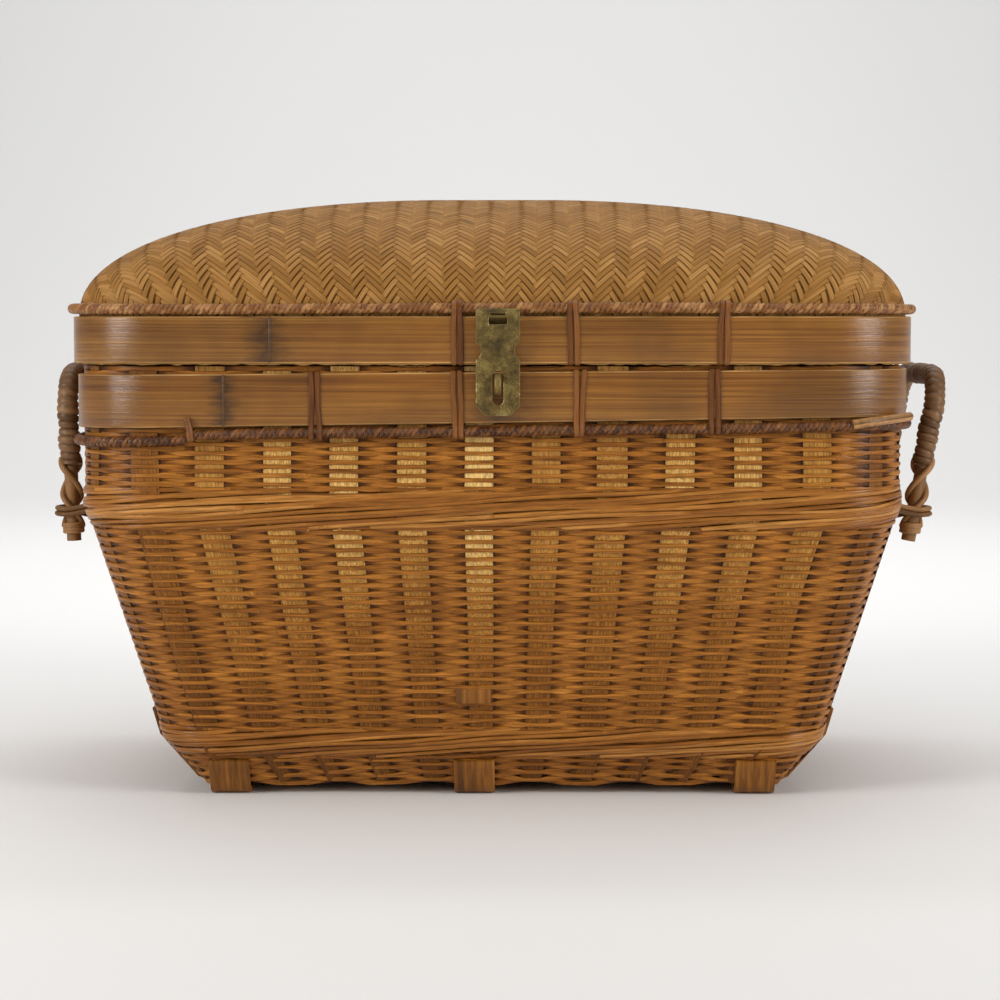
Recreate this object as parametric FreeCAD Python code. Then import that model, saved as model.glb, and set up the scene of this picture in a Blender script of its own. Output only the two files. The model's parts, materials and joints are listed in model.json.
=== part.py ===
"""Bamboo and rattan laundry hamper with a hinged, domed lid. Lengths are in millimetres, angles in degrees.

The basket stands on bamboo runners with its front towards -Y and +Z up. The origin is the middle of the
floor contact, under the basket's centre. Every node is written to parts/NODE.step.
"""

import FreeCAD, Part
import math
import os
from collections import namedtuple

Vector = FreeCAD.Vector
ORIGIN, X_AXIS, Y_AXIS, Z_AXIS = Vector(0, 0, 0), Vector(1, 0, 0), Vector(0, 1, 0), Vector(0, 0, 1)

# --- driving sizes: plan ---------------------------------------------------------------------------------
LID_WIDTH, LID_DEPTH, LID_RADIUS = 550.0, 380.0, 58.0       # outside of the lid's bamboo band
WAIST_WIDTH, WAIST_DEPTH, WAIST_RADIUS = 444.0, 278.0, 36.0  # outside of the weave at the lower belt
BASE_WIDTH, BASE_DEPTH, BASE_RADIUS = 390.0, 234.0, 14.0    # outside of the weave at the floor mat
BODY_STEP = 2.6            # the body's band is this much smaller than the lid's, all round

# --- driving sizes: heights ------------------------------------------------------------------------------
RUNNER_THICK = 4.0         # front-to-back runners, which stand on the floor
CROSS_THICK = 3.0          # side-to-side runners, above them
FLOOR_THICK = 3.0
LOWER_BELT_Z, LOWER_BELT_HEIGHT = 38.0, 20.0
UPPER_BELT_Z, UPPER_BELT_HEIGHT = 197.0, 26.0
BODY_BAND_Z, BODY_BAND_HEIGHT = 252.5, 32.5
RIM_GAP = 5.5              # between the body's band and the lid's
LID_BAND_HEIGHT = 30.0
DOME_HEIGHT = 82.0         # from the top of the lid's band to the crown

# --- driving sizes: thicknesses --------------------------------------------------------------------------
BAND_THICK = 3.5           # outer and inner bamboo bands
MAT_THICK = 1.6            # twilled mat of the lid
WEAVE_THICK = 2.4          # weavers of the wall
STAKE_THICK, STAKE_WIDTH = 1.4, 18.0
BELT_BULGE = 1.3           # the belts stand out from the weave by this
CORD_RADIUS = 4.2          # cane-wrapped rods along the two bands
STRIP_WIDTH, STRIP_THICK, STRIP_SPACING = 3.4, 1.2, 4.2     # the two strips of a lashing
TOUCH = 0.2                # clearance between fixed pieces that lie against each other
SEAT_GAP = 0.3             # between the closed lid and the basket's lip

# --- driving sizes: stakes, lashings, runners ------------------------------------------------------------
STAKE_COUNT = 40
STAKE_SHIFT = -8.0         # the stake nearest the middle of the front stands this far to its right
BODY_LASHINGS = {"front": ((-3, 3.0), (-1, 8.0), (1, 0.0), (3, 0.0)), "back": ((-3, 0.0), (2, 0.0)),
                 "left": ((-1, 0.0),), "right": ((-1, 0.0),)}       # (gap between stakes, shift in it)
LID_LASHINGS = {"front": ((-1, 8.0), (1, -4.0), (3, 5.5)), "back": ((-3, 0.0), (2, 0.0)),
                "left": ((-1, 0.0),), "right": ((-1, 0.0),)}
RUNNER_WIDTH = 27.0
RUNNER_INSET = 19.0        # from the end of the base to the middle of an outer runner
RUNNER_SHIFT = -12.0       # of the middle runner
RUNNER_TOP = 25.0          # where the upturned ends of the front-to-back runners stop
CROSS_INSET, CROSS_TOP = 34.0, 56.0

# --- driving sizes: hasp ---------------------------------------------------------------------------------
HASP_X = 4.5
HASP_WIDTH, HASP_THICK = 28.0, 1.2
HASP_DROP = 66.0           # from the pin to the plate's lower edge
HASP_PIN_RADIUS, PIN_CLEARANCE = 0.8, 0.05
HASP_KNUCKLE = 1.9
HASP_RISE = 3.0            # the pin above the top of the lid's band
WINDOW_WIDTH, WINDOW_HEIGHT, WINDOW_DROP = 11.8, 4.4, 6.0   # the plate's upper slot, and its drop from the pin
NOTCH_DROP, NOTCH_DEPTH, NOTCH_RADIUS = 25.0, 3.3, 5.8
HASP_CHAMFER = 6.0
HASP_LEAF_WIDTH, HASP_LEAF_DROP, HASP_LEAF_KNUCKLE = 22.0, 28.0, 9.0
STAPLE_WIDTH, STAPLE_THICK = 4.5, 1.6
STAPLE_HEIGHT, STAPLE_REACH, STAPLE_ROOT = 11.4, 19.0, 3.0
STAPLE_DROP = 7.5          # from the top of the body's band to the staple's middle
EYE_WIDTH, EYE_HEIGHT, EYE_BELOW = 7.0, 22.0, 2.5    # the slot over the staple; its middle below the staple's

# --- driving sizes: lid hinges ---------------------------------------------------------------------------
HINGE_X = 150.0
LEAF_WIDTH, LEAF_HEIGHT, LEAF_THICK = 26.0, 20.0, 1.2
HINGE_KNUCKLE, HINGE_PIN_RADIUS, KNUCKLE_GAP = 2.5, 1.2, 0.3
PIN_HEAD_RADIUS, PIN_HEAD_THICK = 1.9, 1.0
NAIL_RADIUS, NAIL_HEAD_RADIUS, NAIL_HEAD_THICK, NAIL_DEPTH = 1.0, 2.2, 0.8, 2.8
NAIL_SPACING = 14.0

# --- driving sizes: handles ------------------------------------------------------------------------------
HANDLE_Z = 190.0           # the height of the ties, which are the pivots
HANDLE_SPAN, HANDLE_RISE, HANDLE_BEND = 160.0, 92.0, 26.0
HANDLE_TAIL = 22.0         # the rod below its tie
HANDLE_STANDOFF = 17.0     # from the belt's face to the rod's middle
ROD_RADIUS, GRIP_RADIUS, GRIP_START = 5.2, 7.2, 30.0        # the wrapping begins this far above the tie
COLLAR_RADIUS, COLLAR_DROP, COLLAR_HEIGHT = 7.4, 9.0, 7.0   # windings under the tie
TIE_RADIUS, TIE_SLACK, TIE_PLAY = 1.8, 0.5, 3.6
HANDLE_TILT = {"left": 2.0, "right": 10.0}     # outwards from upright, at rest

# --- heights that follow ---------------------------------------------------------------------------------
FLOOR_Z = RUNNER_THICK + CROSS_THICK + 2 * TOUCH
BODY_BAND_TOP = BODY_BAND_Z + BODY_BAND_HEIGHT
LID_BAND_Z = BODY_BAND_TOP + RIM_GAP
LID_BAND_TOP = LID_BAND_Z + LID_BAND_HEIGHT
STRIP_ROOM = STRIP_THICK + 2 * TOUCH
LIP_TOP = LID_BAND_Z - STRIP_ROOM - SEAT_GAP
BODY_CORD_Z = BODY_BAND_Z - STRIP_ROOM - CORD_RADIUS
LID_CORD_Z = LID_BAND_TOP + STRIP_ROOM + CORD_RADIUS
HINGE_Z = BODY_BAND_TOP + RIM_GAP / 2
HASP_Z = LID_BAND_TOP + HASP_RISE
STAPLE_Z = BODY_BAND_TOP - STAPLE_DROP

# --- plan sections: rounded rectangles -------------------------------------------------------------------
Section = namedtuple("Section", "half_x half_y radius")
FACES = ("front", "right", "back", "left")


def grown(section, by):
    """The section offset outwards by a distance."""
    return Section(section.half_x + by, section.half_y + by, section.radius + by)


def between(low, high, share):
    return Section(*(a + (b - a) * share for a, b in zip(low, high)))


LID_BAND = Section(LID_WIDTH / 2, LID_DEPTH / 2, LID_RADIUS)
LID_MAT = grown(LID_BAND, -BAND_THICK)
LID_INNER = grown(LID_MAT, -MAT_THICK - TOUCH)
BODY_BAND = grown(LID_BAND, -BODY_STEP)
WALL_RIM = grown(BODY_BAND, -BAND_THICK)
STAKE_FACE = -WEAVE_THICK - TOUCH                      # the stakes' outer side, from the wall's face
BODY_INNER = grown(WALL_RIM, STAKE_FACE - STAKE_THICK - TOUCH)
WAIST = Section(WAIST_WIDTH / 2, WAIST_DEPTH / 2, WAIST_RADIUS)
BASE = Section(BASE_WIDTH / 2, BASE_DEPTH / 2, BASE_RADIUS)
WALL_LEVELS = [(FLOOR_Z, BASE), (LOWER_BELT_Z, WAIST), (UPPER_BELT_Z, WALL_RIM), (LIP_TOP, WALL_RIM)]


def wall_at(z):
    """The outside of the woven wall at a height."""
    for (z0, s0), (z1, s1) in zip(WALL_LEVELS, WALL_LEVELS[1:]):
        if z <= z1:
            return between(s0, s1, (z - z0) / (z1 - z0))
    return WALL_LEVELS[-1][1]


def wall_levels(low, high, offset=0.0):
    """(z, section) pairs up the wall from one height to another, each section offset from the wall's face."""
    inner = [z for z, section in WALL_LEVELS if low < z < high]
    return [(z, grown(wall_at(z), offset)) for z in [low] + inner + [high]]


def half_run(section, face):
    """The distance round the section from the middle of a face to the middle of its corner."""
    reach = section.half_x if face % 2 == 0 else section.half_y
    return reach - section.radius + math.pi / 4 * section.radius


def point_round(section, share):
    """The point and outward normal at a share of the way round, from the middle of the front towards +X."""
    total = 4 * (half_run(WALL_RIM, 0) + half_run(WALL_RIM, 1))
    rest = (share * total + half_run(WALL_RIM, 0)) % total
    face = 0
    while rest > 2 * half_run(WALL_RIM, face):
        rest -= 2 * half_run(WALL_RIM, face)
        face += 1
    along = (rest / half_run(WALL_RIM, face) - 1) * half_run(section, face)
    side, reach = (section.half_x, section.half_y) if face % 2 == 0 else (section.half_y, section.half_x)
    straight = side - section.radius
    swing = max(abs(along) - straight, 0) / section.radius * (1 if along > 0 else -1)
    normal = Vector(math.sin(swing), -math.cos(swing), 0)
    foot = Vector(min(max(along, -straight), straight), section.radius - reach, 0)
    quarter = FreeCAD.Rotation(Z_AXIS, 90 * face)
    return quarter.multVec(foot + normal * section.radius), quarter.multVec(normal)


# --- shape helpers ---------------------------------------------------------------------------------------
def outline(section, z):
    """A closed wire round the section, from the left end of the front."""
    hx, hy, r = section
    centres = ((hx - r, r - hy), (hx - r, hy - r), (r - hx, hy - r), (r - hx, r - hy))
    arcs = []
    for quarter, (x, y) in enumerate(centres):
        angles = [math.radians(90 * quarter + turn) for turn in (-90, -45, 0)]
        arcs.append(Part.Arc(*[Vector(x + r * math.cos(a), y + r * math.sin(a), z) for a in angles]).toShape())
    edges = []
    for before, arc in zip(arcs[-1:] + arcs[:-1], arcs):
        edges += [Part.makeLine(before.Vertexes[-1].Point, arc.Vertexes[0].Point), arc]
    return Part.Wire(edges)


def lofted(levels):
    """A solid through (z, section) levels, with straight sides between them."""
    return Part.makeLoft([outline(section, z) for z, section in levels], True, True)


def ring(levels, thick):
    """A wall of the given thickness inside the levels."""
    return lofted(levels).cut(lofted([(z, grown(section, -thick)) for z, section in levels]))


def hoop(outside, thick, z, height):
    return ring([(z, outside), (z + height, outside)], thick)


def cord(section, z):
    """A round rod lying outside the section all the way round."""
    path = outline(grown(section, CORD_RADIUS + TOUCH), z)
    circle = Part.makeCircle(CORD_RADIUS, path.Edges[0].Vertexes[0].Point, X_AXIS)
    return path.makePipeShell([Part.Wire(circle)], True, False, 1)


def fused(shapes):
    whole = shapes[0]
    for shape in shapes[1:]:
        whole = whole.fuse(shape)
    return whole.removeSplitter()


def turned(shape, angle, centre, axis):
    copy = shape.copy()
    copy.rotate(centre, axis, angle)
    return copy


def moved(shape, x, y, z):
    copy = shape.copy()
    copy.translate(Vector(x, y, z))
    return copy


def mirrored(shape):
    return shape.mirror(ORIGIN, X_AXIS)


def on_face(shape, face, along, section):
    """Moves a shape made for the front, facing -Y from y = 0, onto one of the section's four faces."""
    reach = section.half_y if face in ("front", "back") else section.half_x
    return turned(moved(shape, along, -reach, 0), 90 * FACES.index(face), ORIGIN, Z_AXIS)


def profile(points, width, x=0.0):
    """An outline of (outwards, z) points, extruded along X about a middle, facing -Y."""
    corners = [Vector(x - width / 2, -out, z) for out, z in points]
    return Part.Face(Part.makePolygon(corners + corners[:1])).extrude(Vector(width, 0, 0))


def bar(x, width, out0, out1, z0, z1):
    """A block across X about a middle, between two distances outwards and two heights."""
    return profile(((out0, z0), (out1, z0), (out1, z1), (out0, z1)), width, x)


def rod_x(x0, x1, out, z, radius):
    return Part.makeCylinder(radius, x1 - x0, Vector(x0, -out, z), X_AXIS)


# --- the woven body --------------------------------------------------------------------------------------
def stake_pitch():
    return 4 * (half_run(WALL_RIM, 0) + half_run(WALL_RIM, 1)) / STAKE_COUNT


def stakes():
    """Flat bamboo slats on the inside of the weavers, from the floor mat to the lip."""
    low = FLOOR_Z + FLOOR_THICK + TOUCH
    band = ring(wall_levels(low, LIP_TOP, STAKE_FACE), STAKE_THICK)
    slats = []
    for number in range(STAKE_COUNT):
        sections = []
        for z, section in wall_levels(low, LIP_TOP):
            middle, normal = point_round(section, (STAKE_SHIFT / stake_pitch() + number) / STAKE_COUNT)
            side = Vector(-normal.y, normal.x, 0) * (STAKE_WIDTH / 2)
            near, far = middle - normal * 12 + Vector(0, 0, z), middle + Vector(0, 0, z)
            corners = [near - side, near + side, far + side, far - side]
            sections.append(Part.makePolygon(corners + corners[:1]))
        slats.append(band.common(Part.makeLoft(sections, True, True)).Solids[0])
    return Part.makeCompound(slats)


def lashing_places(table):
    """(face, distance along the face) of every strip of the lashings in a table."""
    for face, lashings in table.items():
        for gap, shift in lashings:
            middle = STAKE_SHIFT + (gap + 0.5) * stake_pitch() + shift
            for side in (-1, 1):
                yield face, middle + side * STRIP_SPACING / 2


def lashings(outside, depth, z0, z1, table):
    """Closed loops of strip round an outer and an inner band, and the windows they need in what lies between."""
    room = TOUCH + STRIP_THICK
    loop = bar(0, STRIP_WIDTH, -depth - room, room, z0 - room, z1 + room)
    loop = loop.cut(bar(0, STRIP_WIDTH + 2, -depth - TOUCH, TOUCH, z0 - TOUCH, z1 + TOUCH))
    window = bar(0, STRIP_WIDTH + 2 * TOUCH, -depth, 0, z0 - room - TOUCH, z1 + room + TOUCH)
    window = window.cut(bar(0, STRIP_WIDTH + 2, -depth - 1, 1, z0, z1))
    places = list(lashing_places(table))
    loops = [on_face(loop, face, along, outside) for face, along in places]
    windows = [on_face(window, face, along, outside) for face, along in places]
    return Part.makeCompound(loops), Part.makeCompound(windows)


def runner(width, thick, z, reach, top, gap):
    """A slat under the floor with both ends turned up outside the wall, which is reach(height) away."""
    heights = [FLOOR_Z] + [LOWER_BELT_Z] * (top > LOWER_BELT_Z) + [top]
    outside = [(reach(height) + gap + thick, height) for height in heights]
    inside = [(reach(height) + gap, height) for height in reversed(heights)]
    flat = [(reach(FLOOR_Z) + gap - thick / 2, z + thick), (0, z + thick)]
    half = profile([(0, z), (reach(FLOOR_Z) + gap, z)] + outside + inside + flat, width)
    return half.fuse(turned(half, 180, ORIGIN, Z_AXIS)).removeSplitter()


def front_half(z):
    return wall_at(z).half_y


def side_half(z):
    return wall_at(z).half_x


# --- the lid ---------------------------------------------------------------------------------------------
def dome_levels(outside, height, low):
    """A straight skirt under an elliptic dome of ever smaller copies of the section."""
    levels = [(low, outside), (LID_BAND_TOP, outside)]
    for step in range(1, 12):
        turn = math.radians(84) * step / 11
        levels.append((LID_BAND_TOP + height * math.sin(turn), Section(*(v * math.cos(turn) for v in outside))))
    return levels


def lid_dome():
    outer = lofted(dome_levels(LID_MAT, DOME_HEIGHT, LID_BAND_Z))
    return outer.cut(lofted(dome_levels(grown(LID_MAT, -MAT_THICK), DOME_HEIGHT - MAT_THICK, LID_BAND_Z - 1)))


# --- metalwork -------------------------------------------------------------------------------------------
HASP_OUT = LID_MAT.half_y + 2 * CORD_RADIUS + TOUCH + SEAT_GAP + HASP_KNUCKLE
HASP_BACK = HASP_OUT + HASP_KNUCKLE - HASP_THICK            # the plate's rear side
HINGE_OUT = LID_BAND.half_y + TOUCH + SEAT_GAP + HINGE_KNUCKLE
LEAF_CLEAR = HINGE_KNUCKLE + TOUCH


def rounded_slot(width, height, z):
    r = width / 2
    shape = bar(HASP_X, width, 0, HASP_OUT + 10, z - height / 2 + r, z + height / 2 - r)
    for end in (-1, 1):
        shape = shape.fuse(Part.makeCylinder(r, HASP_OUT + 10, Vector(HASP_X, 0, z + end * (height / 2 - r)), -Y_AXIS))
    return shape


def hasp_plate():
    low, half = HASP_Z - HASP_DROP, HASP_WIDTH / 2
    plate = bar(HASP_X, HASP_WIDTH, HASP_BACK, HASP_BACK + HASP_THICK, low, HASP_Z)
    plate = plate.fuse(rod_x(HASP_X - half, HASP_X + half, HASP_OUT, HASP_Z, HASP_KNUCKLE))
    plate = plate.cut(bar(HASP_X, HASP_LEAF_KNUCKLE + 2 * KNUCKLE_GAP, 0, HASP_OUT + 10,
                          HASP_Z - HASP_KNUCKLE - 2 * KNUCKLE_GAP, HASP_Z + 10))
    plate = plate.cut(rod_x(HASP_X - 20, HASP_X + 20, HASP_OUT, HASP_Z, HASP_PIN_RADIUS + PIN_CLEARANCE))
    window_z = HASP_Z - WINDOW_DROP
    plate = plate.cut(bar(HASP_X, WINDOW_WIDTH, 0, HASP_OUT + 10, window_z - WINDOW_HEIGHT / 2,
                          window_z + WINDOW_HEIGHT / 2))
    plate = plate.cut(rounded_slot(EYE_WIDTH, EYE_HEIGHT, STAPLE_Z - EYE_BELOW))
    for side in (-1, 1):
        edge = HASP_X + side * half
        notch = Vector(edge + side * (NOTCH_RADIUS - NOTCH_DEPTH), 0, HASP_Z - NOTCH_DROP)
        plate = plate.cut(Part.makeCylinder(NOTCH_RADIUS, HASP_OUT + 10, notch, -Y_AXIS))
        corner = [Vector(edge + side, 1, low - 1), Vector(edge - side * HASP_CHAMFER, 1, low - 1),
                  Vector(edge - side * HASP_CHAMFER, 1, low), Vector(edge, 1, low + HASP_CHAMFER),
                  Vector(edge + side, 1, low + HASP_CHAMFER)]
        plate = plate.cut(Part.Face(Part.makePolygon(corner + corner[:1])).extrude(Vector(0, -HASP_OUT - 10, 0)))
    return plate.removeSplitter()


def hasp_leaf():
    """The lid's half of the hasp hinge: nailed to the band, it steps out over the rim cord to its knuckle."""
    back, face = HASP_OUT - HASP_KNUCKLE, LID_BAND.half_y + TOUCH
    shoulder = HASP_Z - HASP_KNUCKLE - KNUCKLE_GAP
    strap = profile([(face, HASP_Z - HASP_LEAF_DROP), (face + HASP_THICK, HASP_Z - HASP_LEAF_DROP),
                     (face + HASP_THICK, shoulder - 8), (back + HASP_THICK, shoulder - 2),
                     (back + HASP_THICK, shoulder), (back, shoulder), (back, shoulder - 1.5),
                     (face, shoulder - 7.5)], HASP_LEAF_WIDTH, HASP_X)
    tongue = bar(HASP_X, HASP_LEAF_KNUCKLE, back, back + HASP_THICK, shoulder - 1, HASP_Z)
    ends = HASP_X - HASP_LEAF_KNUCKLE / 2, HASP_X + HASP_LEAF_KNUCKLE / 2
    leaf = fused([strap, tongue, rod_x(*ends, HASP_OUT, HASP_Z, HASP_KNUCKLE)])
    return leaf.cut(rod_x(HASP_X - 20, HASP_X + 20, HASP_OUT, HASP_Z, HASP_PIN_RADIUS))


def hasp_staple():
    foot, tip = BODY_BAND.half_y - STAPLE_ROOT, BODY_BAND.half_y + STAPLE_REACH
    half = STAPLE_HEIGHT / 2
    whole = bar(HASP_X, STAPLE_WIDTH, foot, tip, STAPLE_Z - half, STAPLE_Z + half)
    whole = whole.makeFillet(STAPLE_THICK * 2, [edge for edge in whole.Edges if edge.CenterOfMass.y < -tip + 0.01
                                                and abs(edge.tangentAt(edge.FirstParameter).x) > 0.9])
    inside = half - STAPLE_THICK
    hollow = bar(HASP_X, STAPLE_WIDTH + 2, foot - 1, tip - STAPLE_THICK, STAPLE_Z - inside, STAPLE_Z + inside)
    return whole.cut(hollow)


def hinge_spans(x):
    """The (start, end) of the middle knuckle and of the two outer ones."""
    third, half = LEAF_WIDTH / 6, LEAF_WIDTH / 2
    return [(x - third, x + third)], [(x - half, x - third - KNUCKLE_GAP), (x + third + KNUCKLE_GAP, x + half)]


def hinge_leaf(x, face, spans, way):
    """A leaf on the back of a band, above (way 1) or below (way -1) the hinge line, with its knuckles."""
    def across(x0, x1, out0, out1, near, far):
        low, high = sorted((HINGE_Z + way * near, HINGE_Z + way * far))
        return bar((x0 + x1) / 2, x1 - x0, out0, out1, low, high)
    half = LEAF_WIDTH / 2
    pieces = [across(x - half, x + half, face, face + LEAF_THICK, LEAF_CLEAR, LEAF_HEIGHT)]
    for x0, x1 in spans:
        pieces.append(across(x0, x1, face, face + LEAF_THICK, 1.0, LEAF_CLEAR + 0.5))
        pieces.append(across(x0, x1, face, HINGE_OUT, 1.0, HINGE_KNUCKLE - 0.3))
        pieces.append(rod_x(x0, x1, HINGE_OUT, HINGE_Z, HINGE_KNUCKLE))
    leaf = fused(pieces)
    hole = HINGE_PIN_RADIUS + (PIN_CLEARANCE if way > 0 else 0)
    return leaf.cut(rod_x(x - half - 1, x + half + 1, HINGE_OUT, HINGE_Z, hole))


def hinge_pin(x):
    half = LEAF_WIDTH / 2
    pieces = [rod_x(x - half - TOUCH, x + half + TOUCH, HINGE_OUT, HINGE_Z, HINGE_PIN_RADIUS)]
    for start in (x - half - TOUCH - PIN_HEAD_THICK, x + half + TOUCH):
        pieces.append(rod_x(start, start + PIN_HEAD_THICK, HINGE_OUT, HINGE_Z, PIN_HEAD_RADIUS))
    return fused(pieces)


def nail(x, out, z):
    """A round-headed nail driven inwards from a face this far out."""
    shank = Part.makeCylinder(NAIL_RADIUS, NAIL_DEPTH + NAIL_HEAD_THICK, Vector(x, -out - NAIL_HEAD_THICK, z), Y_AXIS)
    head = Part.makeCylinder(NAIL_HEAD_RADIUS, NAIL_HEAD_THICK, Vector(x, -out - NAIL_HEAD_THICK, z), Y_AXIS)
    return fused([shank, head])


# --- handles ---------------------------------------------------------------------------------------------
HANDLE_X = side_half(UPPER_BELT_Z) + BELT_BULGE + HANDLE_STANDOFF
HANDLE_Y = HANDLE_SPAN / 2


def handle_path(tail):
    """Half a handle's middle line after the other, from one leg's end over the top to the other's."""
    low, top, bend = HANDLE_Z + tail, HANDLE_Z + HANDLE_RISE, HANDLE_BEND
    edges = [Part.makeLine(Vector(HANDLE_X, -HANDLE_Y, low), Vector(HANDLE_X, -HANDLE_Y, top - bend))]
    for side in (-1, 1):
        ends = [Vector(HANDLE_X, side * HANDLE_Y, top - bend), Vector(HANDLE_X, side * (HANDLE_Y - bend), top)]
        slope = bend * (1 - math.sqrt(0.5))
        middle = Vector(HANDLE_X, side * (HANDLE_Y - slope), top - slope)
        ends = ends if side < 0 else ends[::-1]
        edges.append(Part.Arc(ends[0], middle, ends[1]).toShape())
        if side < 0:
            edges.append(Part.makeLine(ends[1], Vector(HANDLE_X, HANDLE_Y - bend, top)))
    edges.append(Part.makeLine(Vector(HANDLE_X, HANDLE_Y, top - bend), Vector(HANDLE_X, HANDLE_Y, low)))
    return Part.Wire(edges)


def tube(path, radius):
    circle = Part.makeCircle(radius, path.Edges[0].Vertexes[0].Point, Z_AXIS)
    return path.makePipeShell([Part.Wire(circle)], True, False, 1)


def handle(side):
    """The rod, its wrapping and its collars, for the right side or mirrored for the left, at the rest tilt."""
    rod = tube(handle_path(-HANDLE_TAIL), ROD_RADIUS)
    grip = tube(handle_path(GRIP_START), GRIP_RADIUS).cut(rod)
    collars = []
    for y in (-HANDLE_Y, HANDLE_Y):
        foot = Vector(HANDLE_X, y, HANDLE_Z - COLLAR_DROP - COLLAR_HEIGHT)
        collars.append(Part.makeCylinder(COLLAR_RADIUS, COLLAR_HEIGHT, foot, Z_AXIS).cut(rod))
    pieces = [rod, grip, Part.makeCompound(collars)]
    pieces = [turned(piece, HANDLE_TILT[side], Vector(HANDLE_X, 0, HANDLE_Z), Y_AXIS) for piece in pieces]
    return pieces if side == "right" else [mirrored(piece) for piece in pieces]


def handle_ties():
    """Two strands that leave the belt, pass round a leg and go back into the belt. Made for the right side."""
    wide = ROD_RADIUS + TIE_SLACK + TIE_RADIUS
    bend_x = HANDLE_X + TIE_PLAY - TIE_SLACK
    start_x = side_half(UPPER_BELT_Z) - WEAVE_THICK / 2
    ties = []
    for y in (-HANDLE_Y, HANDLE_Y):
        near, far = Vector(bend_x, y - wide, HANDLE_Z), Vector(bend_x, y + wide, HANDLE_Z)
        path = Part.Wire([Part.makeLine(Vector(start_x, y - wide, HANDLE_Z), near),
                          Part.Arc(near, Vector(bend_x + wide, y, HANDLE_Z), far).toShape(),
                          Part.makeLine(far, Vector(start_x, y + wide, HANDLE_Z))])
        circle = Part.makeCircle(TIE_RADIUS, path.Edges[0].Vertexes[0].Point, X_AXIS)
        ties.append(path.makePipeShell([Part.Wire(circle)], True, False, 1))
    return Part.makeCompound(ties)


# --- assembly --------------------------------------------------------------------------------------------
def belt(z, height):
    levels = wall_levels(z - height / 2, z + height / 2, BELT_BULGE)
    return ring(levels, WEAVE_THICK + BELT_BULGE)


def weave(low, high):
    return ring(wall_levels(low + TOUCH / 2, high - TOUCH / 2), WEAVE_THICK)


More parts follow.
